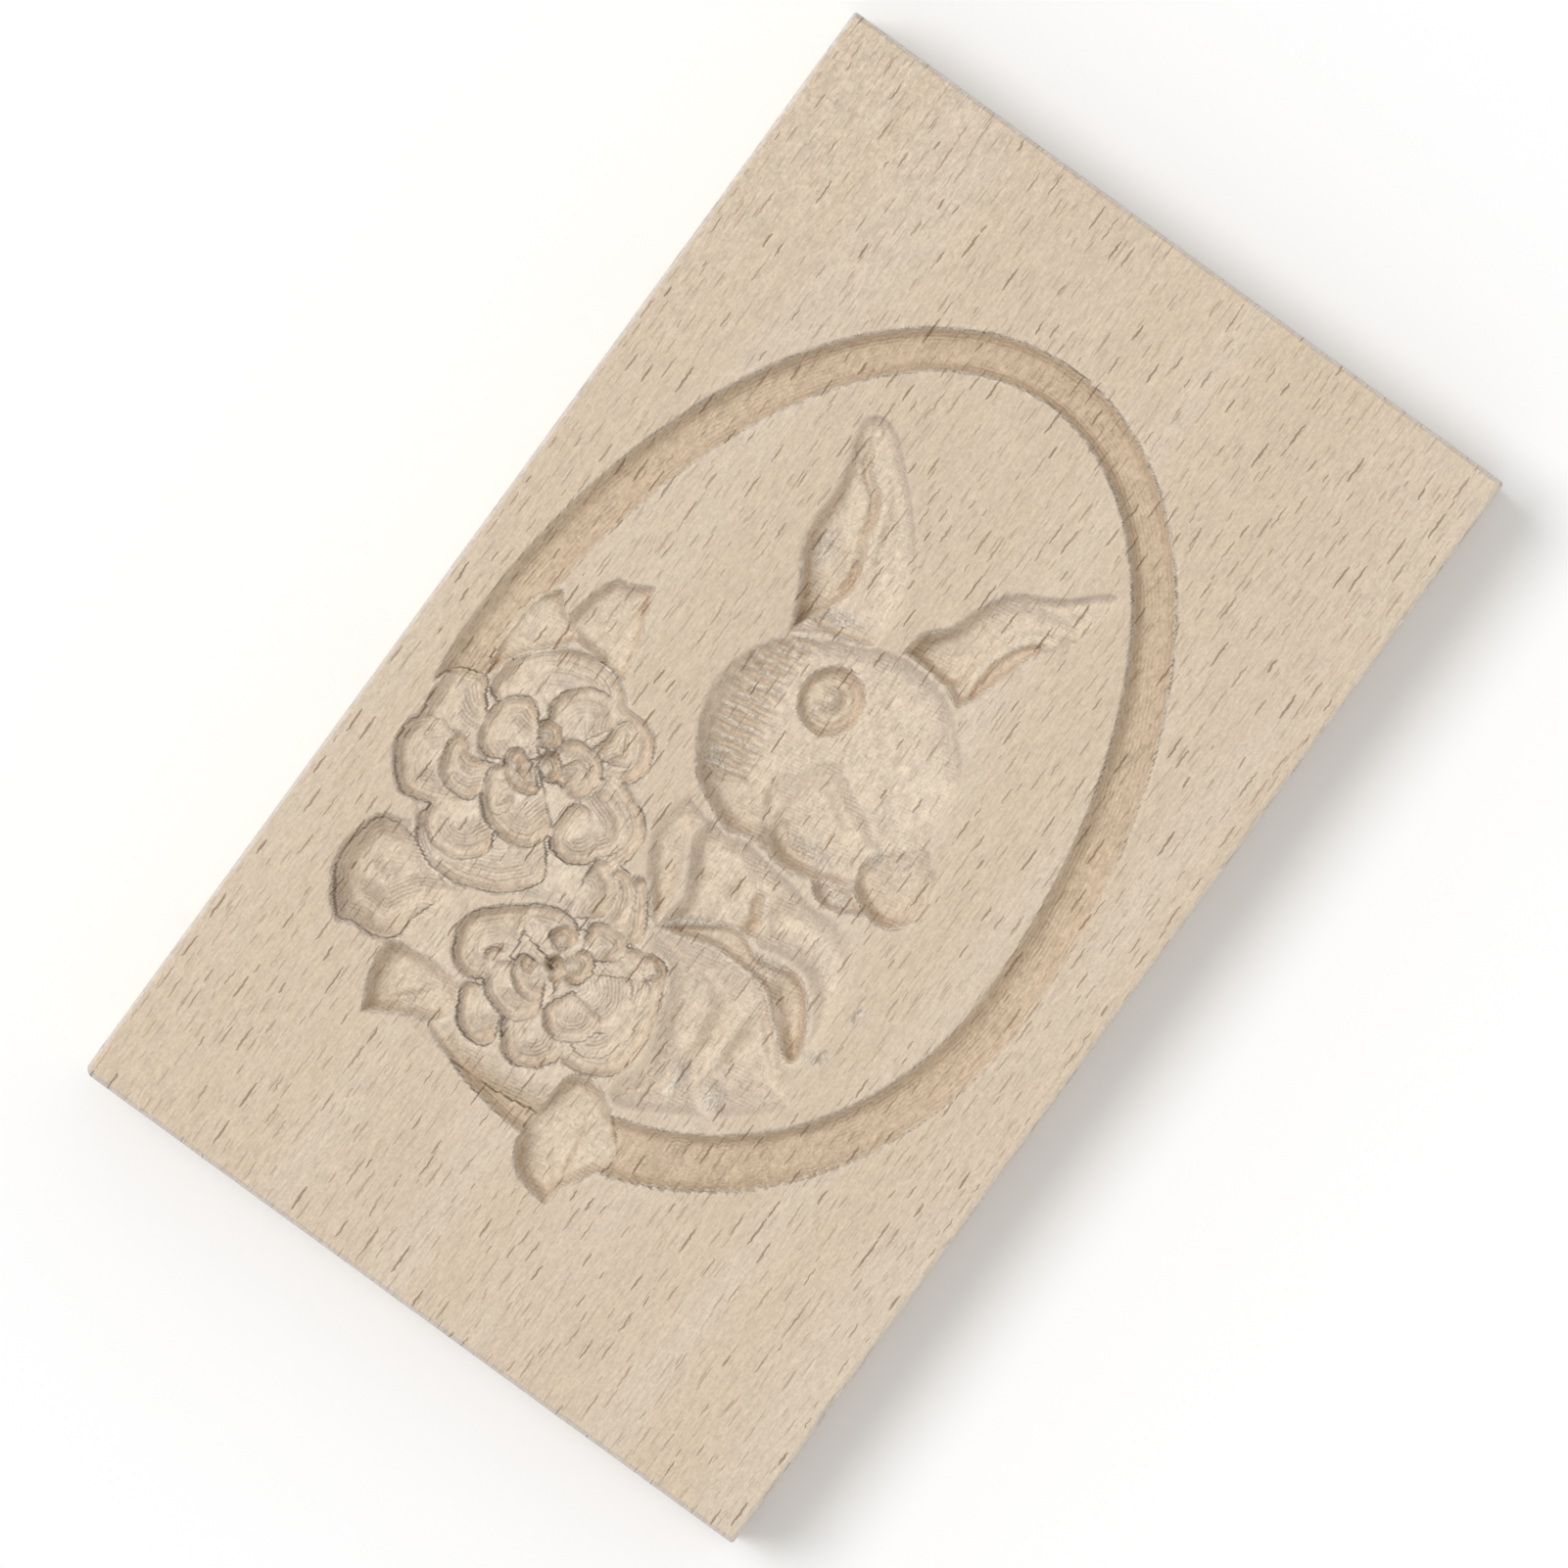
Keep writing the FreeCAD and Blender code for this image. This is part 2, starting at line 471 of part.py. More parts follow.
# The board is carved one cut after another, as it is at the bench
doc.recompute()
board = doc.addObject("Part::Feature", "CarvedBoard")
board.Label = "carved_board"
carved = body.Shape
for tool in cuts:
    before = carved.Volume
    # a chip that a stroke cuts loose falls away
    carved = max(carved.cut(tool.Shape).Solids, key=lambda solid: solid.Volume)
    if carved.Volume >= before:
        raise RuntimeError("%s does not cut cleanly" % tool.Name)
board.Shape = carved.removeSplitter()
doc.recompute()

for obj in doc.Objects:
    if "Invalid" in obj.State or "Error" in obj.State:
        raise RuntimeError("%s has failed: %s" % (obj.Name, obj.State))
if board.Shape.isNull() or not board.Shape.isValid() or len(board.Shape.Solids) != 1:
    raise RuntimeError("%s is not one sound solid" % board.Label)

os.makedirs("parts", exist_ok=True)
board.Shape.exportStep("parts/%s.step" % board.Label)
print("volume %.0f mm3, faces %d" % (board.Shape.Volume, len(board.Shape.Faces)))
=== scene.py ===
import math
from functools import partial

import bpy
import numpy as np
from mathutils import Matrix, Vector, noise


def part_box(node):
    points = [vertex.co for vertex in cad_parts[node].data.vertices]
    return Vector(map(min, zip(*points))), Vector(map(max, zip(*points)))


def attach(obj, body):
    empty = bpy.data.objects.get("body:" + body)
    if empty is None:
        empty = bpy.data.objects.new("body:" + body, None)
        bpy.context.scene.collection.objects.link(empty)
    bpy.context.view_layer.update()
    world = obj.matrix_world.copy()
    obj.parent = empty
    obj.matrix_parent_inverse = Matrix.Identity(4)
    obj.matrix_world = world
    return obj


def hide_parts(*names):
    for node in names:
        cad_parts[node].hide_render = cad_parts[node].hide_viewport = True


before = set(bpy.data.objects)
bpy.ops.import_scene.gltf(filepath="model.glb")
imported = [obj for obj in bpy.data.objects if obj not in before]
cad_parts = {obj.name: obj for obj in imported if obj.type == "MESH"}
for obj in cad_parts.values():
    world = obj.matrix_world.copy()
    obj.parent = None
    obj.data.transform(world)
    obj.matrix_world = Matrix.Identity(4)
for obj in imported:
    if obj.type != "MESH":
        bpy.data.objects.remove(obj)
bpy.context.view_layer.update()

# A carved beech cookie mould, seen from straight above. The board is one mesh: a height
# field of the carving in the middle, plain wood round it and softened edges. Until that
# mesh is made, sizes are in mm, x across the board and y along it from its middle.
lowCorner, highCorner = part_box("carved_board")
mm = 0.001

field = {
    "step": 0.254,  # spacing of the height field's points
    "block": 8,  # cells along the side of a block, flat blocks are one face
    "low": (-42.0, -60.0),
    "high": (38.6, 58.6),
    "strokes": (-0.2, 0.97),  # the way the cutter moved on from stroke to stroke
    "wallCurve": 2.2,  # how much a wall is steeper at its upper edge than at its foot
}


# Height field: depth under the face in mm at every point of a grid, and beside it how far
# each point lies from the edge that the cutter followed, for the fine marks it left
def gridLine(low, high):
    blockSize = field["step"] * field["block"]
    blocks = math.ceil((high - low) / blockSize)
    return low + np.arange(blocks * field["block"] + 1) * field["step"]


gridX, gridY = np.meshgrid(gridLine(field["low"][0], field["high"][0]),
                           gridLine(field["low"][1], field["high"][1]))
depth = np.zeros_like(gridX)
petals = np.zeros_like(gridX)
milled = np.zeros_like(gridX)
torn = np.zeros_like(gridX)
straightSweep = gridX * field["strokes"][0] + gridY * field["strokes"][1]
sweep = straightSweep.copy()


def smoothLoop(points, samples=7):
    # a closed curve through the points; a third value of 1 makes a point a sharp corner
    loop = []
    count = len(points)
    for number in range(count):
        before, here, after, beyond = [points[(number + k) % count] for k in (-1, 0, 1, 2)]
        start = np.array(here[:2], float)
        end = np.array(after[:2], float)
        chord = end - start
        leave = (end - np.array(before[:2], float)) / 2 if len(here) == 2 else chord
        arrive = (np.array(beyond[:2], float) - start) / 2 if len(after) == 2 else chord
        for k in range(samples):
            t = k / samples
            loop.append((2 * t ** 3 - 3 * t ** 2 + 1) * start + (t ** 3 - 2 * t ** 2 + t) * leave
                        + (3 * t ** 2 - 2 * t ** 3) * end + (t ** 3 - t ** 2) * arrive)
    return np.array(loop)


def smoothLine(points, samples=7):
    # an open curve through the points
    first = 2 * np.array(points[0], float) - np.array(points[1], float)
    last = 2 * np.array(points[-1], float) - np.array(points[-2], float)
    line = smoothLoop([tuple(first)] + [tuple(p) for p in points] + [tuple(last)], samples)
    return line[samples:len(points) * samples + 1]


def oval(middle, across, along, count):
    turns = np.linspace(0, 2 * math.pi, count + 1)[:-1]
    return [(middle[0] + across * math.cos(a), middle[1] + along * math.sin(a)) for a in turns]


def window(loop, margin=0.6):
    # the rows and columns of the grid round a line of points
    low = loop.min(axis=0) - margin
    high = loop.max(axis=0) + margin
    columns = np.nonzero((gridX[0] >= low[0]) & (gridX[0] <= high[0]))[0]
    rows = np.nonzero((gridY[:, 0] >= low[1]) & (gridY[:, 0] <= high[1]))[0]
    return slice(rows[0], rows[-1] + 1), slice(columns[0], columns[-1] + 1)


def lineDistance(line, x, y):
    # distance to a line of points and where along it, from 0 to 1
    nearest = np.full(x.shape, 1e9)
    place = np.zeros(x.shape)
    for number, ((ax, ay), (bx, by)) in enumerate(zip(line[:-1], line[1:])):
        dx, dy = bx - ax, by - ay
        t = np.clip(((x - ax) * dx + (y - ay) * dy) / (dx * dx + dy * dy + 1e-12), 0, 1)
        gap = (x - ax - t * dx) ** 2 + (y - ay - t * dy) ** 2
        place = np.where(gap < nearest, (number + t) / (len(line) - 1), place)
        nearest = np.minimum(nearest, gap)
    return np.sqrt(nearest), place


def insideDistance(loop, x, y):
    # distance to a closed loop, positive inside it
    inside = np.zeros(x.shape, bool)
    for (ax, ay), (bx, by) in zip(loop, np.roll(loop, -1, axis=0)):
        if ay != by:
            inside ^= ((ay > y) != (by > y)) & (x < (bx - ax) * (y - ay) / (by - ay) + ax)
    away = lineDistance(np.concatenate([loop, loop[:1]]), x, y)[0]
    return np.where(inside, away, -away)


def easeStep(value):
    value = np.clip(value, 0, 1)
    return value * value * (3 - 2 * value)


def wallShare(inside, wall):
    # a cut wall: a crisp upper edge and a rounded foot
    t = np.clip(inside / wall, 0, 1)
    return 1 - (1 - t) ** field["wallCurve"]


def carve(points, at, level, heading=0.0, slope=0.0, cup=0.0, cupWidth=2.0, wall=0.6,
          over=True, soft=0.0):
    # sets the floor inside a loop: a level at a point, a slope down the heading, a hollow
    # middle; a soft part starts with a gentle wall as wide as soft
    loop = smoothLoop(points)
    area = window(loop)
    x, y = gridX[area], gridY[area]
    inside = insideDistance(loop, x, y)
    turn = math.radians(heading)
    along = (x - at[0]) * math.cos(turn) + (y - at[1]) * math.sin(turn)
    hollow = 1 - (1 - np.clip(inside / cupWidth, 0, 1)) ** 2
    floor = np.maximum(level + slope * along + cup * hollow, 0)
    if soft:
        floor = floor * easeStep(0.25 + inside / soft)
    share = wallShare(inside, wall)
    sweep[area] = np.where(inside > 0, straightSweep[area], sweep[area])
    milled[area] *= 1 - share
    if over:
        depth[area] = depth[area] * (1 - share) + floor * share
    else:
        depth[area] = np.maximum(depth[area], floor * share)


petalCut = {
    "depth": 0.76,  # share of the depths given below that the petals are cut
    "waves": (2.4, 5.3),  # small waves of a rim, from one point of it to the next
    "secondRim": 1.25,  # from a rim to the faint one inside it, and how soon it fades
    "secondRimFade": 2.5,
    "relief": (0.08, 0.04),  # height of the second rim and the folds: most, per mm of reach
}


def petal(rim, heart, inner, outer, reach=3.0, wall=1.0, ruffle=0.07, folds=3.0, side=1.1):
    # a bowl that is deepest along its rim and rises to the flower's heart, with a second
    # faint line inside the rim and soft folds across
    rimLine = smoothLine(rim)
    outward = rimLine - np.array(heart)
    run = np.linspace(0, len(rim) - 1, len(rimLine))
    longWave, shortWave = petalCut["waves"]
    wave = ruffle * (np.sin(run * longWave + heart[0]) + 0.5 * np.sin(run * shortWave + heart[1]))
    rimLine = rimLine + outward / np.linalg.norm(outward, axis=1)[:, None] * wave[:, None]
    heartPoint = np.array([heart], float)
    loop = np.concatenate([rimLine, heartPoint])
    area = window(loop)
    x, y = gridX[area], gridY[area]
    inside = insideDistance(loop, x, y)
    away, place = lineDistance(rimLine, x, y)
    sides = np.concatenate([rimLine[-1:], heartPoint, rimLine[:1]])
    sideAway = lineDistance(sides, x, y)[0]
    rise = easeStep((away - wall * 0.6) / reach)
    floor = (inner + (outer - inner) * (1 - rise)) * petalCut["depth"]
    amount = min(petalCut["relief"][0], petalCut["relief"][1] * reach)
    secondRim = np.cos(2 * math.pi * away / petalCut["secondRim"])
    floor += amount * secondRim * np.exp(-away / petalCut["secondRimFade"])
    floor += amount * np.sin(2 * math.pi * folds * place + inner * 9) * easeStep(away / reach)
    share = np.where(inside > 0, wallShare(away, wall) * easeStep(sideAway / side), 0)
    sweep[area] = np.where(share > 0.3, away, sweep[area])
    petals[area] = np.maximum(petals[area], share)
    depth[area] = depth[area] * (1 - share) + floor * share


def groove(points, width, level, end=0.4):
    # a V cut along a line of points, shallower at both ends; a crest where the level is
    # negative
    line = np.array(points, float)
    area = window(line, width)
    away, place = lineDistance(line, gridX[area], gridY[area])
    fade = easeStep(np.minimum(place, 1 - place) / end)
    depth[area] += level * fade * easeStep(1 - away / width)


print("carving the border")
border = {
    "centre": (-1.3, -7.0),
    "halfWidth": 38.5,
    "upper": 62.5,
    "lower": 43.2,
    "side": 5.6,  # width of the border at the sides, the top and the bottom
    "top": 5.0,
    "bottom": 6.8,
    "depth": 2.4,
    "endWall": 1.4,  # width of its walls at the top and bottom
    "sideWall": 2.2,  # and at the sides
    "stairs": (-1.4, -0.55),  # where the cutter left stairs in the outer wall, in radians
    "stairEase": 0.2,
    "stairSpacing": 1.3 / 38,
    "stairDepth": 0.34,
}


def eggDistance(x, y, halfWidth, upper, lower):
    # distance inside an egg of two half ellipses, good near its edge
    u = x - border["centre"][0]
    v = y - border["centre"][1]
    tall = np.where(v > 0, upper, lower)
    size = np.sqrt((u / halfWidth) ** 2 + (v / tall) ** 2) + 1e-9
    steepness = np.sqrt((u / halfWidth ** 2) ** 2 + (v / tall ** 2) ** 2) / size + 1e-9
    return (1 - size) / steepness


def carveBorder():
    outer = eggDistance(gridX, gridY, border["halfWidth"], border["upper"], border["lower"])
    inner = eggDistance(gridX, gridY, border["halfWidth"] - border["side"],
                        border["upper"] - border["top"], border["lower"] - border["bottom"])
    turn = np.arctan2(gridY - border["centre"][1], gridX - border["centre"][0])
    first, last = border["stairs"]
    ease = border["stairEase"]
    stairs = easeStep((turn - first) / ease) * easeStep((last - turn) / ease)
    outer += stairs * border["stairDepth"] * (np.mod(turn / border["stairSpacing"], 1) - 0.5)
    sideways = np.clip(np.abs(gridX - border["centre"][0]) / border["halfWidth"], 0, 1) ** 2
    wall = border["endWall"] + (border["sideWall"] - border["endWall"]) * sideways
    share = wallShare(outer, wall) * wallShare(-inner, wall)
    depth[:] = border["depth"] * share
    milled[:] = share
    sweep[:] = np.where(share > 0, outer, sweep)


carveBorder()

rose = {
    "upperHeart": (-23.8, -15.4),
    "lowerHeart": (-9.6, -33.2),
    "heartDepth": 1.0,  # how much deeper the wood is lowered at the hearts
    "heartSpread": 6.0,
    "pits": ((-9.5, -32.8, 0.85, 3.2), (-26.3, -16.3, 0.55, 3.2),  # place, radius and depth
             (-21.7, -15.6, 0.5, 3.0), (-11.7, -34.3, 0.6, 3.2)),
}


def lowerBehindFlowers():
    # behind the flowers the border ends; below them its floor rises gently to the petals
    carve([(-27, 0.5), (-34, 0.5), (-35.6, -5), (-35.4, -11), (-38.5, -13.2, 1), (-41, -20, 1), (-41, -52, 1),
        (-24, -52, 1), (-21, -46, 1), (-18, -30)], (-25, -25), 0)
    carve([(-24, -34), (-25, -44), (-19.5, -47.4), (-12, -48.2), (-4, -47.8), (1.5, -45.6), (0.5, -38),
        (-8, -32)], (-12, -40), 0.4, wall=4.2)
    # the wood between the flowers was lowered with them
    carve([(-33, -8), (-29, -4), (-24, -3), (-19, -5.5), (-15, -7), (-14.5, -11), (-10.6, -14.5), (-10, -19),
        (-6, -22.5), (-12, -27), (-18, -29), (-24, -31), (-30, -30), (-34, -26.5), (-37, -24), (-37.5, -14),
        (-34.5, -11.5)], (-24, -16), 0.8, wall=1.4, over=False, soft=4)
    carve([(-14.5, -29), (-8, -26.5), (0, -26.5), (3, -31), (3.4, -37), (1, -40.5), (-4, -44), (-8.5, -44),
        (-13, -44.8), (-16, -41.5), (-19, -38), (-20, -34), (-17.5, -31)],
        (-9, -34), 0.8, wall=1.4, over=False, soft=4)
    for x, y in (rose["upperHeart"], rose["lowerHeart"]):
        away = np.hypot(gridX - x, gridY - y)
        depth[:] += rose["heartDepth"] * np.exp(-(away / rose["heartSpread"]) ** 2)


lowerBehindFlowers()

print("carving the rabbit")


def carveEars():
    # each ear is a shallow leaf with a deeper inside
    carve([(-10, 12.5, 1), (-12.3, 17.6), (-14.6, 21.4), (-15.4, 25.2), (-15.3, 28.6), (-16, 32.2),
        (-17.1, 35.4), (-17, 37.6), (-15.6, 38.6), (-13.4, 38.1), (-11.2, 36.4), (-8, 33.4), (-5, 30.2),
        (-2.6, 26.8), (-1.2, 22.5), (-0.9, 19.6), (-1.2, 17.2, 1), (-5.6, 15.6)],
        (-8, 27), 1.1, heading=205, slope=0.04, wall=0.9, soft=2.4)
    carve([(-10, 13.6, 1), (-12, 17.9), (-14.1, 21.6), (-14.9, 25.2), (-14.8, 28.6), (-15.5, 32.2),
        (-16.5, 35.4), (-16.2, 37), (-15.1, 35.8), (-14.4, 33.4), (-12.4, 32), (-10.4, 30.6), (-9.6, 28.4),
        (-8.7, 25.2), (-7.3, 22.8), (-6.9, 20.6), (-7.7, 18), (-8.6, 16.2)],
        (-12, 25), 2.2, heading=255, slope=0.14, cup=0.5, wall=1.1)
    groove([(-15.1, 36.4), (-14.3, 33.4), (-12.9, 32), (-11.1, 30.9), (-10.1, 29.1), (-9.3, 26.2), (-8, 23.2),
        (-7.5, 21.2), (-8, 18.2)], 0.9, 1, end=0.15)
    groove([(-13, 34), (-10.4, 32.4), (-8.9, 29.6), (-8.1, 26.6), (-6.8, 23.4), (-6.2, 20.8)],
        1.1, -0.45, end=0.3)
    carve([(-9.4, 15.2, 1), (-7.4, 17.8), (-4.4, 18.8), (-1.8, 18.2), (-1.6, 16.8), (-5.4, 15.4)],
        (-5, 17), 1.7, heading=255, slope=0.35, wall=1.6)
    carve([(1.6, 18.4, 1), (2, 21.4), (4.2, 24), (5.2, 26.8), (6.4, 29.4), (8.4, 31.6), (12.6, 34),
        (16, 37.2), (17.6, 37.7), (18.2, 35.6), (17.6, 32.8), (16.3, 30), (14.3, 26.6), (13, 23.5),
        (12.3, 20.8), (11.4, 18.6), (10.2, 16.9, 1), (6.2, 18.6)],
        (10, 28), 1.3, heading=235, slope=0.07, wall=1, soft=1.6)
    carve([(2.2, 18.9, 1), (2.9, 21.2), (5, 23.8), (6.2, 27), (8, 29.9), (11.4, 31.8), (15.4, 32.6),
        (16.8, 31), (14.6, 29.6), (12, 28.2), (10.4, 25.4), (9.5, 22), (9.3, 19.4), (7.4, 18.4)],
        (8, 25), 2.1, heading=245, slope=0.14, cup=0.5, wall=1)
    carve([(10.3, 19.4), (10.4, 23), (11.8, 26.6), (14.4, 28.8), (13.2, 25.6), (12, 21.6), (11, 18.6)],
        (11.5, 24), 1.9, heading=250, slope=0.06, cup=0.5, cupWidth=1.2, wall=0.7)


def carveHead():
    # a shallow dish that gets deeper towards the jaw, then the muzzle and the lip
    carve([(-10, 12.5, 1), (-7.5, 14), (-4.6, 15.8), (-2, 17), (2, 18.2), (5.4, 18.3), (8.2, 17.5),
        (10.4, 16.4), (13.2, 13.7), (15, 11.6), (15.9, 10.2, 1), (16, 5, 1), (17, 2.4), (18.6, 0.7),
        (19.4, -3.4), (18.2, -7.4), (14.6, -7.6), (12, -7.4), (8.8, -8.2), (4.6, -8.9), (0.2, -8.4),
        (-2.6, -9.2), (-5.6, -8.1), (-8, -6.8), (-9.6, -5.4), (-11.4, -3), (-12.8, 0), (-13.6, 4), (-12.8, 8),
        (-11.4, 10.8)], (2, 8), 1.2, heading=258, slope=0.08, cup=0.7, cupWidth=5, wall=0.8, soft=3)
    carve([(0.4, -8.2, 1), (-2.6, -9.2), (-5.6, -8.1), (-8, -6.8), (-9.4, -5.6), (-10.8, -2), (-11.4, 3),
        (-9, 7), (-4, 7.6), (0, 5), (0.6, 0)],
        (-4, 3), 2, heading=262, slope=0.13, cup=0.6, cupWidth=3.4, wall=2.6)
    carve([(0.6, 3), (0.3, -1), (0.7, -4.6), (2.2, -7.6), (4.6, -8.8), (8.6, -8), (11.4, -7), (12.2, -5),
        (10.6, -1.6), (6.8, 2.6), (3, 4.6)],
        (5, -3), 2.8, heading=255, slope=0.16, cup=0.8, cupWidth=2.6, wall=1.9)
    carve([(12.3, -2), (11.9, -4), (13, -6.2), (14.8, -7.4), (16.8, -8), (18.8, -7.5), (20.3, -5.5),
        (20.5, -3), (19.8, 0), (18.5, 1.1), (16.6, 2.2), (14, 0.4)],
        (16.3, -3.7), 2.6, heading=230, slope=0.34, cup=0.8, cupWidth=3, wall=1.7)
    carve([(8.5, -8, 1), (10, -6.8), (12.3, -6.4), (14, -6.9), (15.5, -8, 1), (13.5, -9.1), (11.2, -9.8),
        (9.4, -9.2)], (12, -8.2), 1.7, heading=270, slope=0.12, cup=0.5, cupWidth=1.4, wall=0.9)
    # the brow, the folds of the cheek and the edge of the nose
    groove([(12.6, 15), (14, 11.6), (15, 8.6), (15.3, 5.4)], 0.8, 0.15)
    groove([(-0.5, 1.5), (-0.3, -2), (0.9, -5.2), (3.4, -6.9), (6.2, -7.3), (8.6, -6.8)], 2.4, 0.9, end=0.3)
    groove([(-2.2, 1), (-1.9, -3), (-0.6, -6.8)], 1.4, -0.5, end=0.3)
    groove([(0.6, 4), (3.6, 2.4), (7, 0.4), (9.2, -0.6), (11, -1.9), (12.2, -3.2)], 1.9, 0.8)
    groove([(7.6, 2.4), (11, 0.2), (13.4, -0.6)], 1.8, -0.5)
    groove([(5.8, 13.2), (8.3, 9.4), (9.3, 7)], 1, 0.22)
    groove([(9, 15), (11.2, 12.3), (12.2, 9.4)], 1, 0.22)


carveEars()
carveHead()

rabbitFur = {
    # where each row of fur starts and how far it runs to the eye or the jaw
    "rows": [(-10.6, 12.2, 5.5), (-11.6, 10.7, 6.2), (-12.3, 9.2, 6.4), (-12.9, 7.6, 7.0),
             (-13.3, 6.1, 7.6), (-13.5, 4.5, 8.2), (-13.3, 2.9, 8.4), (-12.9, 1.3, 8.4),
             (-12.3, -0.3, 8.2), (-11.5, -1.9, 7.8), (-10.6, -3.5, 7.2), (-9.4, -5.0, 6.2)],
    "rise": 1.5,  # from a row's start to its end
    "wave": 0.16,
    "width": 0.9,
    "level": 0.5,
    "crest": (0.75, -0.34),  # above each row: how far, also as a share of its width, and level
}


def carveFur():
    up, crestLevel = rabbitFur["crest"]
    for row, (x, y, reach) in enumerate(rabbitFur["rows"]):
        line = []
        for k in range(13):
            t = k / 12
            wave = rabbitFur["wave"] * math.sin(15 * t + 2.1 * row)
            line.append((x + reach * t, y + rabbitFur["rise"] * t + wave))
        groove(line, rabbitFur["width"], rabbitFur["level"], end=0.35)
        groove([(px, py + up) for px, py in line], rabbitFur["width"] * up, crestLevel, end=0.35)


carveFur()

rabbitEye = {
    "middle": (-1.6, 9.4),
    "across": 3.75,
    "along": 4.15,
    "depth": 3.9,
    "pupil": (-1.7, 9.5),  # a peak left in the hollow, with a low ring round it
    "pupilHeight": 2.1,
    "pupilSpread": 1.25,
    "ring": (0.35, 2.2, 0.4),  # height, radius, spread
    "facets": (0.07, 1.6, 0.7),  # height, radius, spread
    "facetCount": 9,
    "reach": 3.3,
}


def carveEye():
    rim = oval(rabbitEye["middle"], rabbitEye["across"], rabbitEye["along"], 16)
    carve(rim, rabbitEye["middle"], rabbitEye["depth"], wall=1.3)
    area = window(np.array(rim))
    x = gridX[area] - rabbitEye["pupil"][0]
    y = gridY[area] - rabbitEye["pupil"][1]
    away = np.hypot(x, y * 0.92)
    peak = rabbitEye["pupilHeight"] * np.exp(-(away / rabbitEye["pupilSpread"]) ** 2)
    height, radius, spread = rabbitEye["ring"]
    peak += height * np.exp(-((away - radius) / spread) ** 2)
    height, radius, spread = rabbitEye["facets"]
    turn = rabbitEye["facetCount"] * np.arctan2(y, x)
    peak += height * np.sin(turn) * np.exp(-((away - radius) / spread) ** 2)
    depth[area] -= np.where(away < rabbitEye["reach"], peak, 0)


carveEye()

print("carving the body")
chips = {
    "places": ((21.5, -17.5), (21.0, -23.5), (13.0, -13.5)),
    "across": 0.5,
    "along": 0.9,
    "depth": 0.5,
}


def carveChest():
    carve([(-8.8, -8.2, 1), (-5, -9.6), (-5.4, -12), (-3.8, -15.4), (-2.6, -19), (-3, -22.6), (-6.4, -19.4),
        (-9.4, -14)], (-6, -13), 1, heading=330, slope=0.1, cup=0.4, wall=1.6, soft=2.5)
    carve([(-4.8, -9.2), (0.2, -8.9), (5.4, -9.4), (9, -10.2), (9.6, -13), (8.4, -16.4), (6.4, -18.6),
        (1, -20.6), (-2.8, -22.6), (-2.4, -18), (-4, -14.8), (-5.4, -12)],
        (1, -14), 1.3, heading=235, slope=0.1, cup=0.6, cupWidth=3, wall=1.8, soft=3)
    carve([(5.4, -9.6), (9, -10.2), (13.4, -10), (17.4, -12), (19.4, -16), (20.2, -21), (19.4, -25.6),
        (17.2, -21), (14, -17.6), (10, -17.4), (5.8, -18.4), (6.5, -16.6), (5, -12.8)],
        (10, -14), 0.8, heading=200, slope=0.07, cup=0.5, cupWidth=4, wall=2.4, soft=4)
    groove([(4.4, -12.2), (5, -13.8), (6, -15.6), (5.9, -17.8)], 1, 0.9, end=0.25)
    groove([(7.6, -10.4), (8.2, -13.2), (7.4, -15.8), (5, -18.4), (1, -19.8)], 2.6, 0.7, end=0.3)
    groove([(-0.2, -10.5), (0.6, -13.5), (0.2, -17), (-0.6, -20)], 2.2, -0.55)
    groove([(2.4, -11), (3, -13.4), (2.6, -16)], 1.8, 0.5)


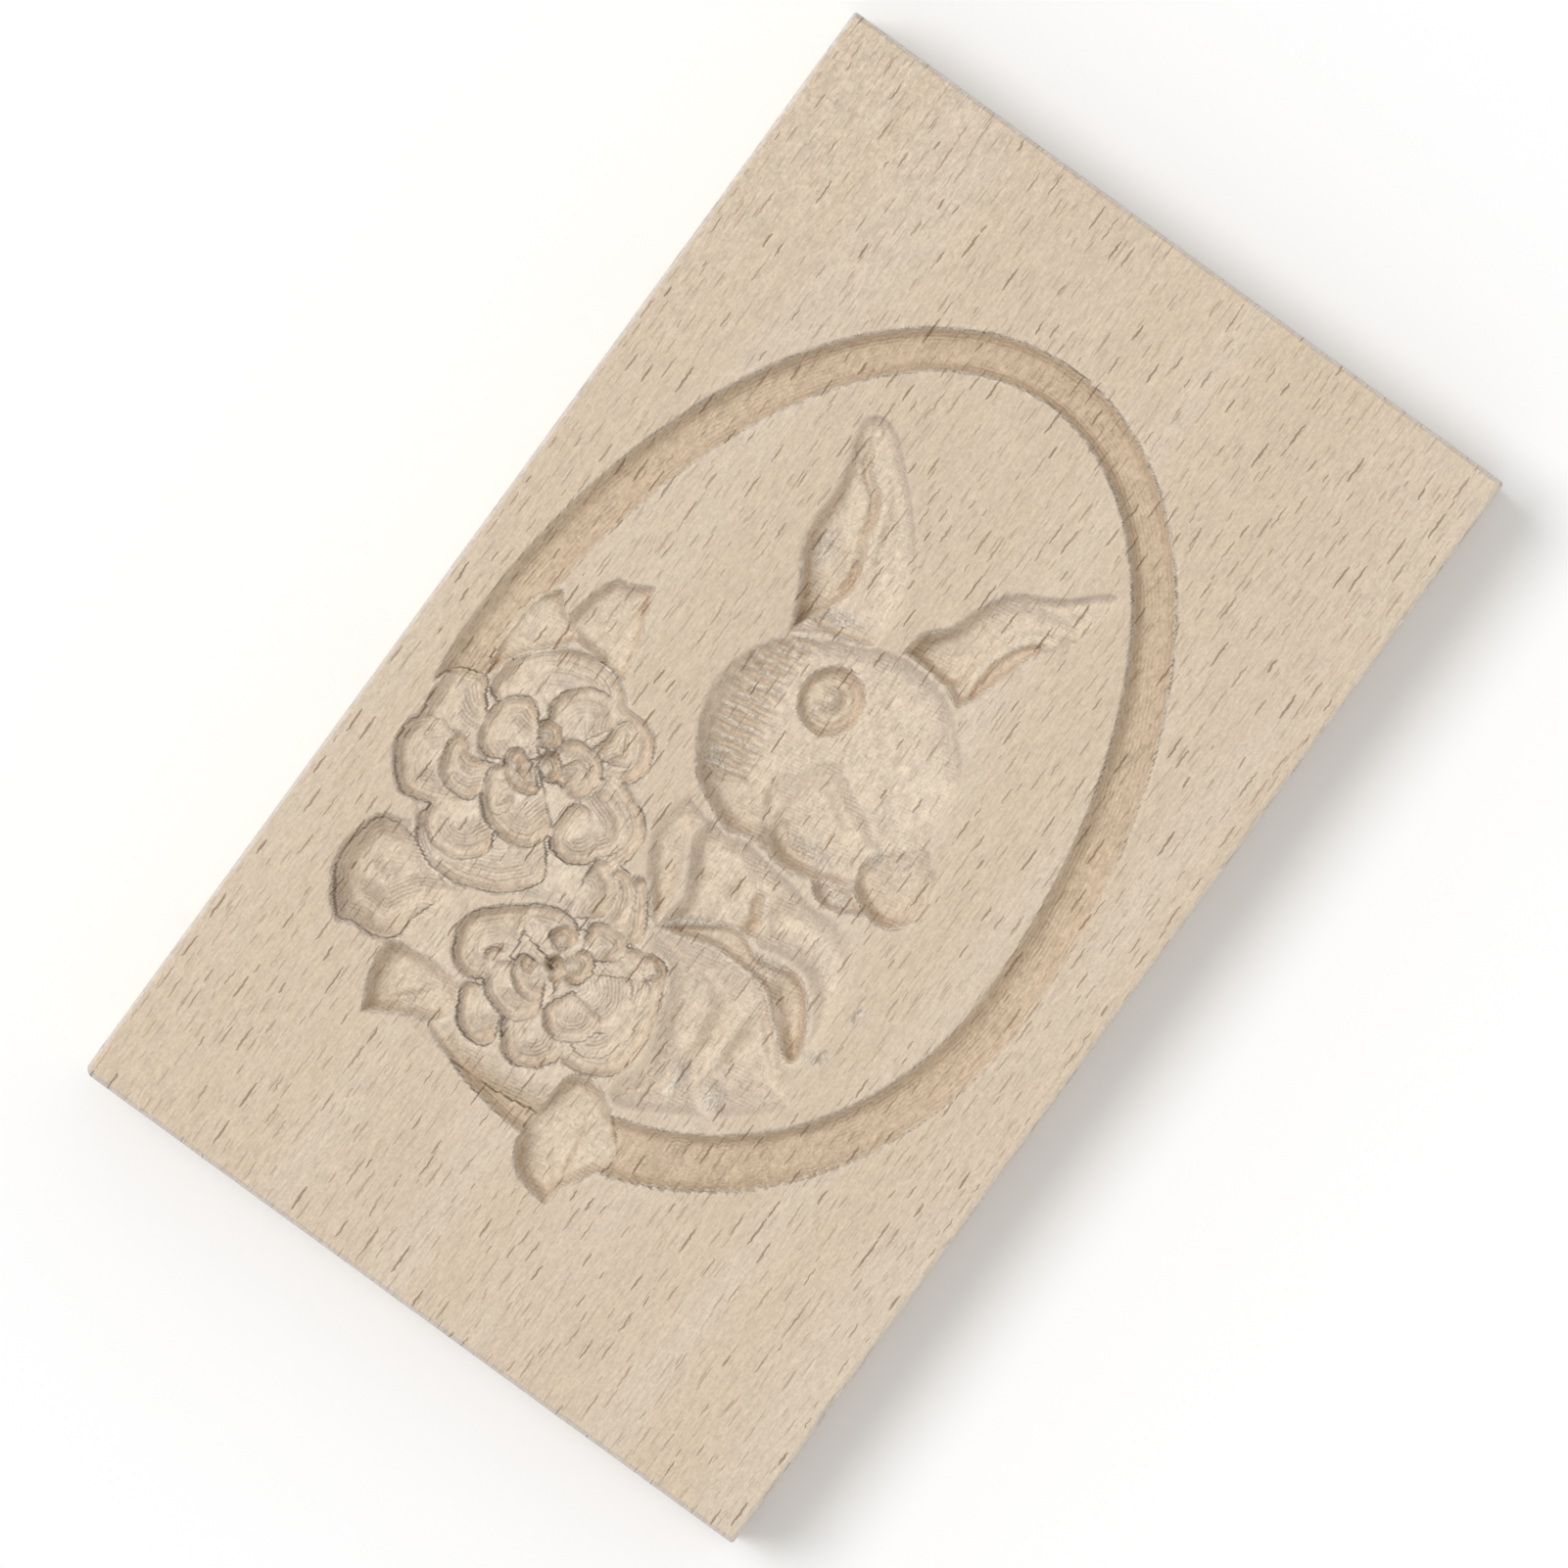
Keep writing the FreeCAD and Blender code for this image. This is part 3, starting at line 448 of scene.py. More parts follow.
def carveHaunch():
    carve([(-3.4, -22.8, 1), (-1.6, -21.6), (1.4, -20.2), (4, -19), (6.4, -18.4), (10, -17.6), (13, -17.7),
        (15.2, -18.6), (17.2, -20.8), (18.6, -23.2), (19.4, -25.8, 1), (20.8, -28), (21.4, -30.4),
        (17, -34.8), (10.8, -38.9), (5.4, -41.6), (3.6, -39.6), (5, -35.4), (3.4, -31), (2.4, -27.4),
        (-1.8, -25)], (9, -19), 1.7, heading=270, slope=0.02, cup=0.7, cupWidth=5, wall=2.6, soft=9)
    # foreleg, deepest in the crescent of its paw
    carve([(-3.4, -22.8, 1), (-1.4, -20.9), (1.4, -18.9), (3.9, -17.4), (6.2, -17.3), (8.4, -18.3),
        (10.4, -18.2), (13, -17.5), (15.4, -18.6), (17.4, -20.8), (19, -24.6), (18.2, -26.6), (15.8, -25.4),
        (13.4, -23.4), (11, -21.3), (8, -21), (4, -20.9), (0.4, -22)],
        (8, -19.5), 2.5, heading=80, slope=0.14, cup=0.3, cupWidth=1.4, wall=1.2, soft=1.2)
    carve([(10.8, -19.6, 1), (13, -18), (15, -18.6), (17, -21), (18.9, -24.6), (18.5, -26.4, 1), (16, -24.4),
        (13.2, -21.8)], (15, -21.5), 3.1, heading=40, slope=0.14, cup=0.5, cupWidth=1.8, wall=1.4)
    # long soft folds
    groove([(0.4, -24.2), (3.6, -27.0), (6.2, -31.0), (6.6, -36.0)], 2.4, 0.5)
    groove([(3.6, -23.4), (6.6, -25.6), (8.4, -30.0), (8.2, -33.6)], 2.0, -0.5)
    groove([(8.6, -22.2), (9.6, -26.0), (9.8, -31.0), (9.2, -36.0)], 1.8, 0.5)
    groove([(10.8, -21.8), (11.4, -26.0), (11.2, -31.0), (10.8, -36.6)], 1.7, -0.65)
    groove([(11.4, -21.4), (13.7, -23.6), (16.8, -27.0), (20.2, -30.4)], 1.3, 0.7)
    groove([(12.4, -24.6), (13.4, -28.0), (13.2, -32.0)], 1.8, 0.6)
    groove([(15.0, -27.0), (16.2, -30.0), (15.6, -33.0)], 1.6, 0.45)
    # and two toes
    groove([(9.2, -32.6), (9.3, -37.8)], 1.3, -0.6)
    groove([(13.6, -32.4), (13.8, -36.6)], 2.2, -0.7)


def carveChips():
    # small chips that came off the face beside the rabbit
    for chip in chips["places"]:
        ring = oval(chip, chips["across"], chips["along"], 8)
        carve(ring, chip, chips["depth"], over=False)


carveChest()
carveHaunch()
carveChips()

# torn fibres, paler and rougher than the wood round them: place, half the size across and
# along, and lean in degrees
tornSpots = (
    (9.3, -35.2, 0.8, 2.6, 4), (13.7, -34.5, 1.6, 1.8, 0), (20.5, -23.9, 2.0, 1.0, 30),
    (21.6, -17.5, 0.9, 1.5, 0), (-12.2, 23.0, 1.5, 2.8, 12), (-6.3, 17.4, 2.8, 1.3, 22),
    (6.6, -5.6, 4.2, 1.5, 4), (12.2, -8.3, 2.8, 1.1, 0), (0.8, -19.6, 4.2, 0.9, 32),
    (10.2, -19.2, 3.0, 1.1, 0), (12.8, -1.8, 1.0, 1.6, 0), (-8.6, -3.4, 2.2, 1.2, -30),
)


def markTornFibres():
    for x, y, across, along, lean in tornSpots:
        turn = math.radians(lean)
        u = ((gridX - x) * math.cos(turn) + (gridY - y) * math.sin(turn)) / across
        v = ((gridY - y) * math.cos(turn) - (gridX - x) * math.sin(turn)) / along
        torn[:] = np.maximum(torn, easeStep(1.3 - np.hypot(u, v)))


markTornFibres()

print("carving the leaves")


def carveLeaves():
    # two above the roses, the broad one at the left, two below
    carve([(-25, 8.2, 1), (-27.2, 6.9), (-29.2, 6.2), (-30.2, 4), (-30.9, 1.2), (-31.2, -1.8, 1),
        (-21.6, -2.4, 1), (-22.5, 1.5), (-23.5, 4.2), (-24.4, 6.5)],
        (-27, 2), 1.4, heading=255, slope=0.06, cup=0.7, cupWidth=2.4, wall=1.2)
    carve([(-25.1, 7.4, 1), (-25.3, 3), (-25.1, -2.4, 1), (-22, -2.6, 1), (-22.8, 1.2), (-23.8, 4.4)],
        (-24, 2), 2, heading=180, slope=0.3, wall=0.7)
    carve([(-35.3, -0.2), (-33.3, 1.9, 1), (-31.4, 0.1), (-28.6, -1.2), (-30, -4), (-33.2, -7.8),
        (-34.6, -11.4, 1), (-35.6, -8.4), (-36.1, -5), (-35.9, -2.4)],
        (-33, -4), 1.9, heading=250, slope=0.05, cup=0.6, wall=1, over=False)
    petal([(-31, -28.6), (-33.5, -29.7), (-35.2, -30.6), (-36.1, -32.6), (-36.5, -35.3), (-36.1, -38.2),
        (-34.6, -40.9), (-32.3, -43), (-30.2, -42.5), (-27.9, -42.5), (-25.6, -41.3), (-23.6, -38)],
        (-22, -32), 1.4, 4.7, reach=7, wall=3, folds=1, side=4)
    groove([(-34, -31.6), (-34.6, -35), (-34, -38.6), (-32.6, -41.4)], 0.9, 0.3)
    groove([(-33, -32.4), (-32.6, -36), (-31.6, -40)], 0.9, -0.35)
    groove([(-34.6, -33.6), (-30.4, -34.4), (-26, -35.6)], 2.2, 0.6)
    groove([(-34.8, -38.4), (-30.6, -39.2), (-27, -39.6)], 2.2, 0.65)
    carve([(-25.5, -41.2), (-26.1, -43.5), (-25.3, -46.5), (-23.8, -49.7, 1), (-22, -48.6), (-20.2, -47.5, 1),
        (-16.2, -45.6), (-15.4, -42.6), (-17.6, -40.6), (-22, -40.4)],
        (-21, -44), 2, heading=215, slope=0.1, cup=0.7, cupWidth=2.4, wall=1.5)
    carve([(-0.8, -42), (-1.2, -46), (-1.4, -50), (-0.4, -52.9), (2, -54.6), (5.5, -55.2, 1), (6.2, -52.6),
        (7.4, -50.4), (8.8, -48), (8.8, -45.6), (7, -44), (4.6, -41.6), (1.6, -40.8)],
        (3.6, -48), 2.4, heading=215, slope=0.08, cup=0.7, cupWidth=2.6, wall=1.5)
    groove([(3, -42.6), (4.6, -46), (5.2, -50), (5.4, -53.6)], 0.7, 0.4)
    groove([(-17.2, -41.6), (-19.6, -44.4), (-22, -46.8), (-23.4, -48.8)], 0.7, 0.35)


carveLeaves()

print("carving the roses")


def carveUpperRose():
    # the wide outer petals first, each nearer the heart lies over them
    heart = rose["upperHeart"]
    petal([(-33.6, -12.5), (-33.6, -9.7), (-33.2, -7.4), (-31.7, -5.3), (-29.4, -3.3), (-25.5, -2.1),
        (-22, -2.7), (-19.6, -4.6), (-18.6, -7)], heart, 0.9, 2.5, reach=5)
    petal([(-20.4, -4.9), (-19.2, -4.6), (-17, -4.7), (-14.9, -5.9), (-13.6, -8.2), (-13.8, -10.6),
        (-15, -12.2)], heart, 0.9, 2.6, reach=3.2)
    petal([(-31.9, -27.2), (-31.5, -28.6), (-30.5, -30.3), (-27.9, -31.8), (-24.6, -32.2), (-21.4, -31.2),
        (-18.2, -29.4), (-16.1, -27), (-15.8, -24.6)], heart, 0.8, 2.4, reach=5, wall=1.3)
    petal([(-38, -20), (-38.6, -16.5), (-38.5, -13.4), (-38, -12.2), (-36.7, -11.3), (-34.4, -10.9),
        (-33, -12.4)], (-30, -17), 0.9, 2.9, reach=4.6, wall=1.6)
    petal([(-36.6, -17.6), (-38.6, -19.4), (-38.9, -21.8), (-37.9, -24.4), (-36.1, -26.5), (-34.4, -27.3),
        (-31.7, -26.8), (-29.4, -25.8), (-27.8, -24.6)], (-29, -18), 0.9, 3, reach=4.2, wall=1.7)
    petal([(-17, -11.4), (-14.9, -11.8), (-12, -12.6), (-9.9, -14.4), (-9.2, -17.1), (-9.6, -19.4),
        (-11, -21.6)], (-19, -16.6), 0.9, 2.4, reach=3.4)
    petal([(-31.5, -25.6), (-31.1, -27.5), (-30.2, -29.1), (-28.2, -30), (-25.5, -29.9), (-23.5, -28.5),
        (-22.4, -26.3)], (-25.6, -20), 1, 3.1, reach=3.8)
    petal([(-27, -10.2), (-27, -8.8), (-26.4, -7.1), (-24.6, -5.3), (-22, -4.5), (-20, -5.4), (-19, -7.2)],
        heart, 1.3, 2.9, reach=3.4)
    petal([(-19.9, -8.6), (-19.3, -6.2), (-17.9, -5.7), (-16.4, -6.8), (-15.5, -9.4), (-16.4, -11)],
        (-20.8, -12), 1.5, 3, reach=2.4)
    petal([(-16.6, -13), (-15.2, -13.5), (-12.6, -14.4), (-11.1, -16.5), (-11.1, -18.8), (-12.6, -20.8)],
        (-18.6, -17.4), 1.3, 2.8, reach=2.6)
    petal([(-18.4, -16.2), (-18.7, -18.6), (-18.5, -20.8), (-17.6, -22.5), (-16, -22.9), (-14.2, -22.5),
        (-12.6, -21.2), (-12.2, -19.6)], (-16.2, -16), 1.5, 3.1)
    petal([(-30.6, -18.9), (-33, -17.8), (-33.8, -19.1), (-33.5, -21.2), (-32.3, -23.2), (-30.2, -24.1),
        (-28.2, -23.8), (-27, -22.6)], (-27.4, -17.8), 1.5, 3.4, reach=3.4, wall=1.3)
    petal([(-27.3, -10.4), (-29.4, -10), (-31.1, -11.2), (-32, -13.2), (-31.9, -15.9), (-30.8, -17.9),
        (-28.8, -18.8)], heart, 1.6, 3.3, reach=3.6, wall=1.3)
    petal([(-28.4, -18.4), (-28.2, -20.2), (-27.3, -22.4), (-25.5, -24.1), (-22.9, -25), (-20.2, -24.5),
        (-18.6, -23), (-17.9, -20.6)], heart, 1.6, 3.5, reach=4.2, wall=1.3)
    petal([(-23.6, -11.6), (-21.4, -10.6), (-18.8, -10.9), (-17.4, -12.6), (-17.2, -14.8), (-18.2, -17)],
        heart, 2, 3.3, reach=2.8)
    petal([(-26.6, -19), (-27.1, -20.8), (-26.2, -22.8), (-24.4, -23), (-23.2, -21.4)],
        (-24.6, -18.4), 2.2, 3.7, reach=1.8)
    petal([(-27, -12.2), (-26.2, -10.9), (-24.4, -10.8), (-23.2, -12.2), (-23.4, -13.6)],
        (-25.2, -14.6), 2.4, 3.6, reach=1.5, wall=0.7)
    petal([(-21.6, -13.2), (-20.4, -12.4), (-19.2, -13.2), (-19.2, -15.2), (-20.4, -16.8)],
        (-22.6, -15.6), 2.3, 3.6, reach=1.6, wall=0.7)
    petal([(-26.9, -14.8), (-27.8, -16.6), (-27.1, -18.4), (-25.2, -19.5), (-23, -19.4), (-21.6, -18)],
        (-24.2, -15.8), 2.6, 4, reach=2)
    petal([(-24.6, -14), (-23, -13.4), (-21.4, -14.4), (-21.2, -16), (-22.2, -17.2)],
        (-24.4, -16.2), 2.8, 4, reach=1.4, wall=0.7)
    petal([(-25.8, -15.4), (-26.4, -16.4), (-25.8, -17.6), (-24.4, -18), (-23.4, -17.2)],
        (-24.6, -15.8), 3.2, 4.4, reach=1, wall=0.7)


def carveBud():
    # half open, between the roses, with three folds that lie over each other
    petal([(-8.2, -19.4), (-6.6, -19.1), (-4.8, -20.8), (-3.3, -23.4), (-2.9, -25.8)],
        (-7, -28.4), 0.9, 2.2, reach=2.6)
    petal([(-10.8, -19.6), (-8.8, -19.3), (-6.8, -20.6), (-5.6, -22.8), (-5.3, -25.6)],
        (-9.6, -28.6), 1.1, 2.6, reach=2.6)
    petal([(-13, -20.8), (-11.4, -20), (-9.4, -20.9), (-8.1, -22.8), (-7.8, -25.6)],
        (-12, -28.8), 1.2, 2.9, reach=2.6)


def carveLowerRose():
    heart = rose["lowerHeart"]
    petal([(-3.6, -25.6), (-1.6, -25.8), (1.2, -26.3), (2.4, -27.6), (3, -29.4), (3.9, -32.1), (4.3, -34.7),
        (3.9, -37.6), (2.6, -39.8), (0.1, -41), (-2.6, -41), (-4.6, -40)], heart, 0.8, 2.5, reach=6.5)
    petal([(-14.6, -32.2), (-16.4, -31.2), (-15.5, -28.8), (-14.4, -27.9), (-12.6, -27.2), (-10.2, -27.4),
        (-8.6, -28.6)], heart, 0.9, 2.2, reach=2.8)
    petal([(-16, -39.4), (-16.5, -40.7), (-15.8, -42.5), (-14.4, -44.4), (-12.3, -45.4), (-10.6, -45),
        (-9.4, -43.4)], (-11.6, -38), 1, 2.7, reach=3.6)
    petal([(-10.8, -39.8), (-10.5, -41.2), (-9.6, -42.9), (-7.9, -44.4), (-5.8, -44.4), (-3.8, -43.2),
        (-2.7, -41.2), (-2.8, -39.6)], (-6.8, -36.6), 1.1, 2.8, reach=3.2)
    petal([(-14.8, -29.6), (-15.8, -29.2), (-17.9, -30.6), (-19.9, -32.6), (-20.8, -35), (-20.2, -37.4),
        (-18.8, -39.1), (-16.7, -39.8), (-14.6, -38.8), (-13.6, -37)],
        (-13.4, -33.6), 1.3, 3.2, reach=4.2, wall=1.3)
    petal([(-9, -27.6), (-8.6, -26.3), (-6.7, -25.4), (-4.6, -25.6), (-3.5, -27.1), (-3.8, -29)],
        (-7.6, -31), 1.4, 3, reach=2.2)
    petal([(-1.4, -27.2), (-1.6, -25.8), (-0.4, -25.1), (1, -25.6), (1.8, -27), (1, -28.2)],
        (-0.6, -28.6), 1.3, 2.5, reach=1, wall=0.7)
    petal([(0.6, -27.6), (1.5, -29.4), (2.1, -32), (2.4, -34.8), (1.7, -37.3), (-0.2, -39.2), (-2.8, -39.4)],
        heart, 1.1, 2.6, reach=4)
    petal([(-1.6, -28.6), (-0.3, -30), (0.5, -32.2), (0.4, -34.6), (-0.6, -36.6)], heart, 1.3, 2.6, reach=3.4)
    petal([(-16.2, -34.6), (-16.4, -36.4), (-15.4, -38), (-13.8, -38.6)], (-12.6, -34.6), 2, 3.3, reach=1.8)
    petal([(-7.8, -36.6), (-7.3, -37.9), (-6.1, -39.3), (-4.1, -39.5), (-1.8, -38.2), (-0.9, -36.2),
        (-1.4, -34.2)], (-6.2, -33.6), 1.7, 3.2)
    petal([(-15, -35.6), (-15, -37.8), (-14.6, -39.1), (-13.5, -40.3), (-11.4, -40.9), (-9.4, -40.7),
        (-7.9, -39.6), (-7.2, -37.8)], heart, 1.8, 3.5, reach=3.8, wall=1.3)
    petal([(-12, -30.8), (-11.8, -29.2), (-10.4, -28.3), (-8.9, -28.8), (-8.6, -30.2)],
        (-10.2, -31.6), 2.1, 3.3, reach=1.4, wall=0.7)
    petal([(-8.2, -29.4), (-6.6, -29.2), (-5.4, -30.6), (-5.4, -32.6), (-6.4, -34)], heart, 2, 3.2, reach=1.9)
    petal([(-13, -33.2), (-13.4, -34.8), (-12.6, -36.6), (-11, -37.8), (-9.2, -37.8), (-7.8, -36.6)],
        heart, 2.5, 4, reach=2.4)
    petal([(-12.6, -33.4), (-12.8, -34.6), (-11.8, -35.6), (-10.8, -35), (-11, -33.8)],
        (-11.7, -34), 3.6, 4.3, reach=0.8, wall=0.7)
    petal([(-10.2, -31.8), (-8.8, -31.6), (-7.8, -32.6), (-7.9, -34.2), (-9, -35)],
        (-9.8, -33.6), 2.7, 3.7, reach=1.1, wall=0.7)


def carvePit(x, y, radius, level):
    # the drilled heart with a dot left in it and a low ring round it
    away = np.hypot(gridX - x, gridY - y)
    pit = level * easeStep((radius + 0.3 - away) / 0.55) - 0.6 * np.exp(-(away / 0.4) ** 2)
    depth[:] = np.maximum(depth, pit) - 0.35 * np.exp(-((away - radius - 0.55) / 0.3) ** 2)


carveUpperRose()
carveBud()
carveLowerRose()
for pit in rose["pits"]:
    carvePit(*pit)
np.maximum(depth, 0, out=depth)
print("depth of the carving: %.2f mm" % depth.max())

print("building the board")
board = {
    "width": (highCorner[0] - lowCorner[0]) / mm,
    "length": (highCorner[1] - lowCorner[1]) / mm,
    "face": (highCorner[2] - lowCorner[2]) / mm,
    "edge": 0.6,  # sanded radius of the face and back edges
    "edgeSteps": 5,
    "margin": 0.35,  # flat strip inside the edges
    "corners": (1.2, 0.5, 0.5, 0.5),  # radius of the upright corners, one is worn more
    "leastCorner": 0.15,
    "cornerSteps": 4,  # in half a corner
    "edgeSpacing": 1.2,  # distance between points along the edges
    "unevenness": 0.05,  # how far the sanded edges wander inwards
    "waves": ((0.21, 3.7, 0.5), (1.3, 8.1, 0.3)),  # of that: per mm, seed, share
    "sharpFrom": 50,  # degrees between faces from which an edge looks sharp
    "notch": (-55.4, 1.6, 0.4),  # a worn spot on the right face edge: place, length, depth
}


def boardMesh():
    faces = []
    cells = field["block"]
    rows, columns = depth.shape
    # a block is flat when its cells and the cells next to it have one depth
    used = np.zeros(depth.shape, bool)
    carvedBlock = {}
    for row in range(0, rows - 1, cells):
        for column in range(0, columns - 1, cells):
            near = depth[max(row - 1, 0):row + cells + 2, max(column - 1, 0):column + cells + 2]
            carvedBlock[row, column] = near.max() - near.min() > 1e-4
            if carvedBlock[row, column]:
                used[row:row + cells + 1, column:column + cells + 1] = True
            else:
                used[row:row + cells + 1:cells, column:column + cells + 1:cells] = True
    index = -np.ones(depth.shape, int)
    index[used] = np.arange(used.sum())
    levels = board["face"] - depth[used]
    points = np.stack([gridX[used], gridY[used], levels], axis=1).tolist()
    quads = np.stack([index[:-1, :-1], index[:-1, 1:], index[1:, 1:], index[1:, :-1]], axis=2)
    for (row, column), carved in carvedBlock.items():
        if carved:
            faces += quads[row:row + cells, column:column + cells].reshape(-1, 4).tolist()
        else:
            across = np.arange(cells)
            walk = np.concatenate([index[row, column + across], index[row + across, column + cells],
                                   index[row + cells, column + cells - across],
                                   index[row + cells - across, column]])
            faces.append(tuple(int(i) for i in walk if i >= 0))
    sides = [index[0, :], index[:, -1], index[-1, ::-1], index[::-1, 0]]
    innerSides = [[int(i) for i in side if i >= 0] for side in sides]

    def inward(place, side, height):
        # how far the unevenness and the worn spot move a point of an edge inwards
        wander = 0.5
        for waves, seed, share in board["waves"]:
            wander += share * noise.noise(Vector((place[0] * waves, place[1] * waves, seed)))
        worn = 0
        if side == 1 and height > board["face"] - board["edge"]:
            notchAt, notchLength, notchDepth = board["notch"]
            worn = notchDepth * math.exp(-((place[1] - notchAt) / notchLength) ** 2)
        return board["unevenness"] * max(wander, 0) + worn

    def edgeLoop(inset, height):
        # rounded rectangle from the middle of the lower left corner, anticlockwise
        half = np.array([board["width"], board["length"]]) / 2 - inset
        radii = [max(corner - inset, board["leastCorner"]) for corner in board["corners"]]
        first = len(points)
        starts = []
        steps = board["cornerSteps"]
        corners = ((-1, -1), (1, -1), (1, 1), (-1, 1))

        def arc(centre, radius, angles):
            points.extend((centre[0] + radius * math.cos(angle),
                           centre[1] + radius * math.sin(angle), height) for angle in angles)

        for side in range(4):
            radius, nextRadius = radii[side], radii[(side + 1) % 4]
            begin = np.array(corners[side]) * (half - radius)
            end = np.array(corners[(side + 1) % 4]) * (half - nextRadius)
            base = math.radians(180 + 90 * side)
            starts.append(len(points))
            arc(begin, radius, [base + math.radians(45 + 45 * k / steps) for k in range(steps)])
            outward = np.array([math.cos(base + math.pi / 2), math.sin(base + math.pi / 2)])
            count = int(board["length" if side % 2 else "width"] / board["edgeSpacing"])
            for t in [k / count for k in range(count + 1)]:
                place = begin + (end - begin) * t + outward * (radius + (nextRadius - radius) * t)
                points.append((*(place - outward * inward(place, side, height)), height))
            arc(end, nextRadius, [base + math.radians(90 + 45 * k / steps) for k in range(1, steps)])
        return first, len(points), starts

    edge = board["edge"]
    face = board["face"]
    turns = [k / board["edgeSteps"] * math.pi / 2 for k in range(board["edgeSteps"] + 1)]
    loops = [edgeLoop(edge + board["margin"], face)]
    loops += [edgeLoop(edge * (1 - math.sin(t)), face - edge * (1 - math.cos(t))) for t in turns]
    loops += [edgeLoop(0.0, face * share) for share in (0.75, 0.5, 0.25)]
    loops += [edgeLoop(edge * (1 - math.cos(t)), edge * (1 - math.sin(t))) for t in turns]
    loops += [edgeLoop(edge + board["margin"], 0.0)]
    for (upper, upperEnd, _), (lower, _, _) in zip(loops[:-1], loops[1:]):
        count = upperEnd - upper
        for k in range(count):
            following = (k + 1) % count
            faces.append((upper + following, upper + k, lower + k, lower + following))
    top = loops[0]
    for side in range(4):
        start = top[2][side]
        end = top[2][(side + 1) % 4] if side < 3 else top[1]
        outerSide = list(range(start, end)) + [top[2][(side + 1) % 4]]
        faces.append(tuple(outerSide + innerSides[side][::-1]))
    bottom = loops[-1]
    faces.append(tuple(range(bottom[1] - 1, bottom[0] - 1, -1)))
    mesh = bpy.data.meshes.new("carved_beech_board")
    mesh.from_pydata([(x * mm, y * mm, z * mm) for x, y, z in points], [], faces)
    mesh.validate()
    return mesh, used


fieldLimits = {
    "smoothing": 8,  # times the depths are evened out to find the nooks
    # the nooks get painted shade in the material; this is how deep a nook must be for the full shade
    "nookShade": 0.45,  # mm under the wood round it that make a full nook
    "cut": 0.8,  # mm under the face from which wood counts as freshly cut
}


def addFields(mesh, used):
    # for the material: how far a point lies under the wood round it, which drives the painted shade in the
    # nooks and part of the painted highlight on the crests, how deep it is cut, whether it is in the milled
    # border, in a petal or torn, and the distance from the edge that the cutter followed
    around = depth.copy()
    for turn in range(fieldLimits["smoothing"]):
        around = (around + np.roll(around, 1, 0) + np.roll(around, -1, 0)
                  + np.roll(around, 1, 1) + np.roll(around, -1, 1)) / 5
    fields = {
        "nookShade": np.clip((depth - around) / fieldLimits["nookShade"], -1, 1),
        "cut": np.clip(depth / fieldLimits["cut"], 0, 1),
        "milled": milled,
        "petal": petals,
        "torn": torn,
        "sweep": sweep,
    }
    for name, source in fields.items():
        layer = mesh.attributes.new(name, "FLOAT", "POINT")
        values = np.zeros(len(mesh.vertices), np.float32)
        values[:used.sum()] = source[used]
        layer.data.foreach_set("value", values)


mesh, used = boardMesh()
addFields(mesh, used)
mesh.shade_smooth()
mesh.set_sharp_from_angle(angle=math.radians(board["sharpFrom"]))
piece = bpy.data.objects.new("carved_beech_board", mesh)
bpy.context.scene.collection.objects.link(piece)
triangles = sum(len(face.vertices) - 2 for face in mesh.polygons)
print("board faces: %d, triangles: %d" % (len(mesh.polygons), triangles))

print("making the materials")


def toLinear(hexColour):
    values = [int(hexColour[k:k + 2], 16) / 255 for k in (1, 3, 5)]
    return tuple(v / 12.92 if v <= 0.04045 else ((v + 0.055) / 1.055) ** 2.4 for v in values) + (1.0,)


def addNode(tree, kind, inputs=(), output=0, **settings):
    # inputs are values or outputs of other nodes, in order or by the input's name or number
    node = tree.nodes.new("ShaderNode" + kind)
    for name, value in settings.items():
        setattr(node, name, value)
    for name, value in (inputs.items() if isinstance(inputs, dict) else enumerate(inputs)):
        if isinstance(value, bpy.types.NodeSocket):
            tree.links.new(value, node.inputs[name])
        else:
            node.inputs[name].default_value = value
    return node if output is None else node.outputs[output]


# Beech, milled and sanded: pale pinkish buff with short dark ray flecks along the grain; the
# eye sees soft bands, a felt of fine fibres and greyer, rougher wood where it is cut
beech = {
    "pale": "#D9C9B4",
    "pink": "#D4C0A9",
    "honey": "#D6C3AB",
    "fleck": "#84694F",
    "endGrain": "#B5A594",
    "nookShade": "#BE9D7A",
    # painted shade: the brown darkening in the nooks
    "freshCut": "#E6D5BF",
    # the milled border's floor: partly its own rougher surface, partly painted shade from its deep walls
    "milledFloorAndShade": "#CAB498",
    # pale fuzz on the crests together with a painted highlight
    "fuzzAndHighlight": "#E6D8C6",
    "torn": "#E3DACB",
    # painted reflection of the white surroundings on the eased edges
    "edge": "#DAD5CC",
    "fleckSpacing": (1.9, 5.2, 12.0),
    "fleckSize": (0.13, 1.7, 8.0),
    # large and small ones: what bends them, size, shift, strength and share left out
    "flecks": (("wobble", 1.0, 1.7, 0.75, 0.12), ("smallWobble", 0.6, 12.3, 0.4, 0.3)),
    "ripple": 0.44,  # mm between the marks of the cutter
    "stroke": 1.15,  # mm between its strokes in the petals
    # the paler edge is a painted reflection
    "edgeWidth": 1.2,  # mm from the board's side that count as its paler edge
    "roughness": 0.62,
    "ior": 1.4,
}

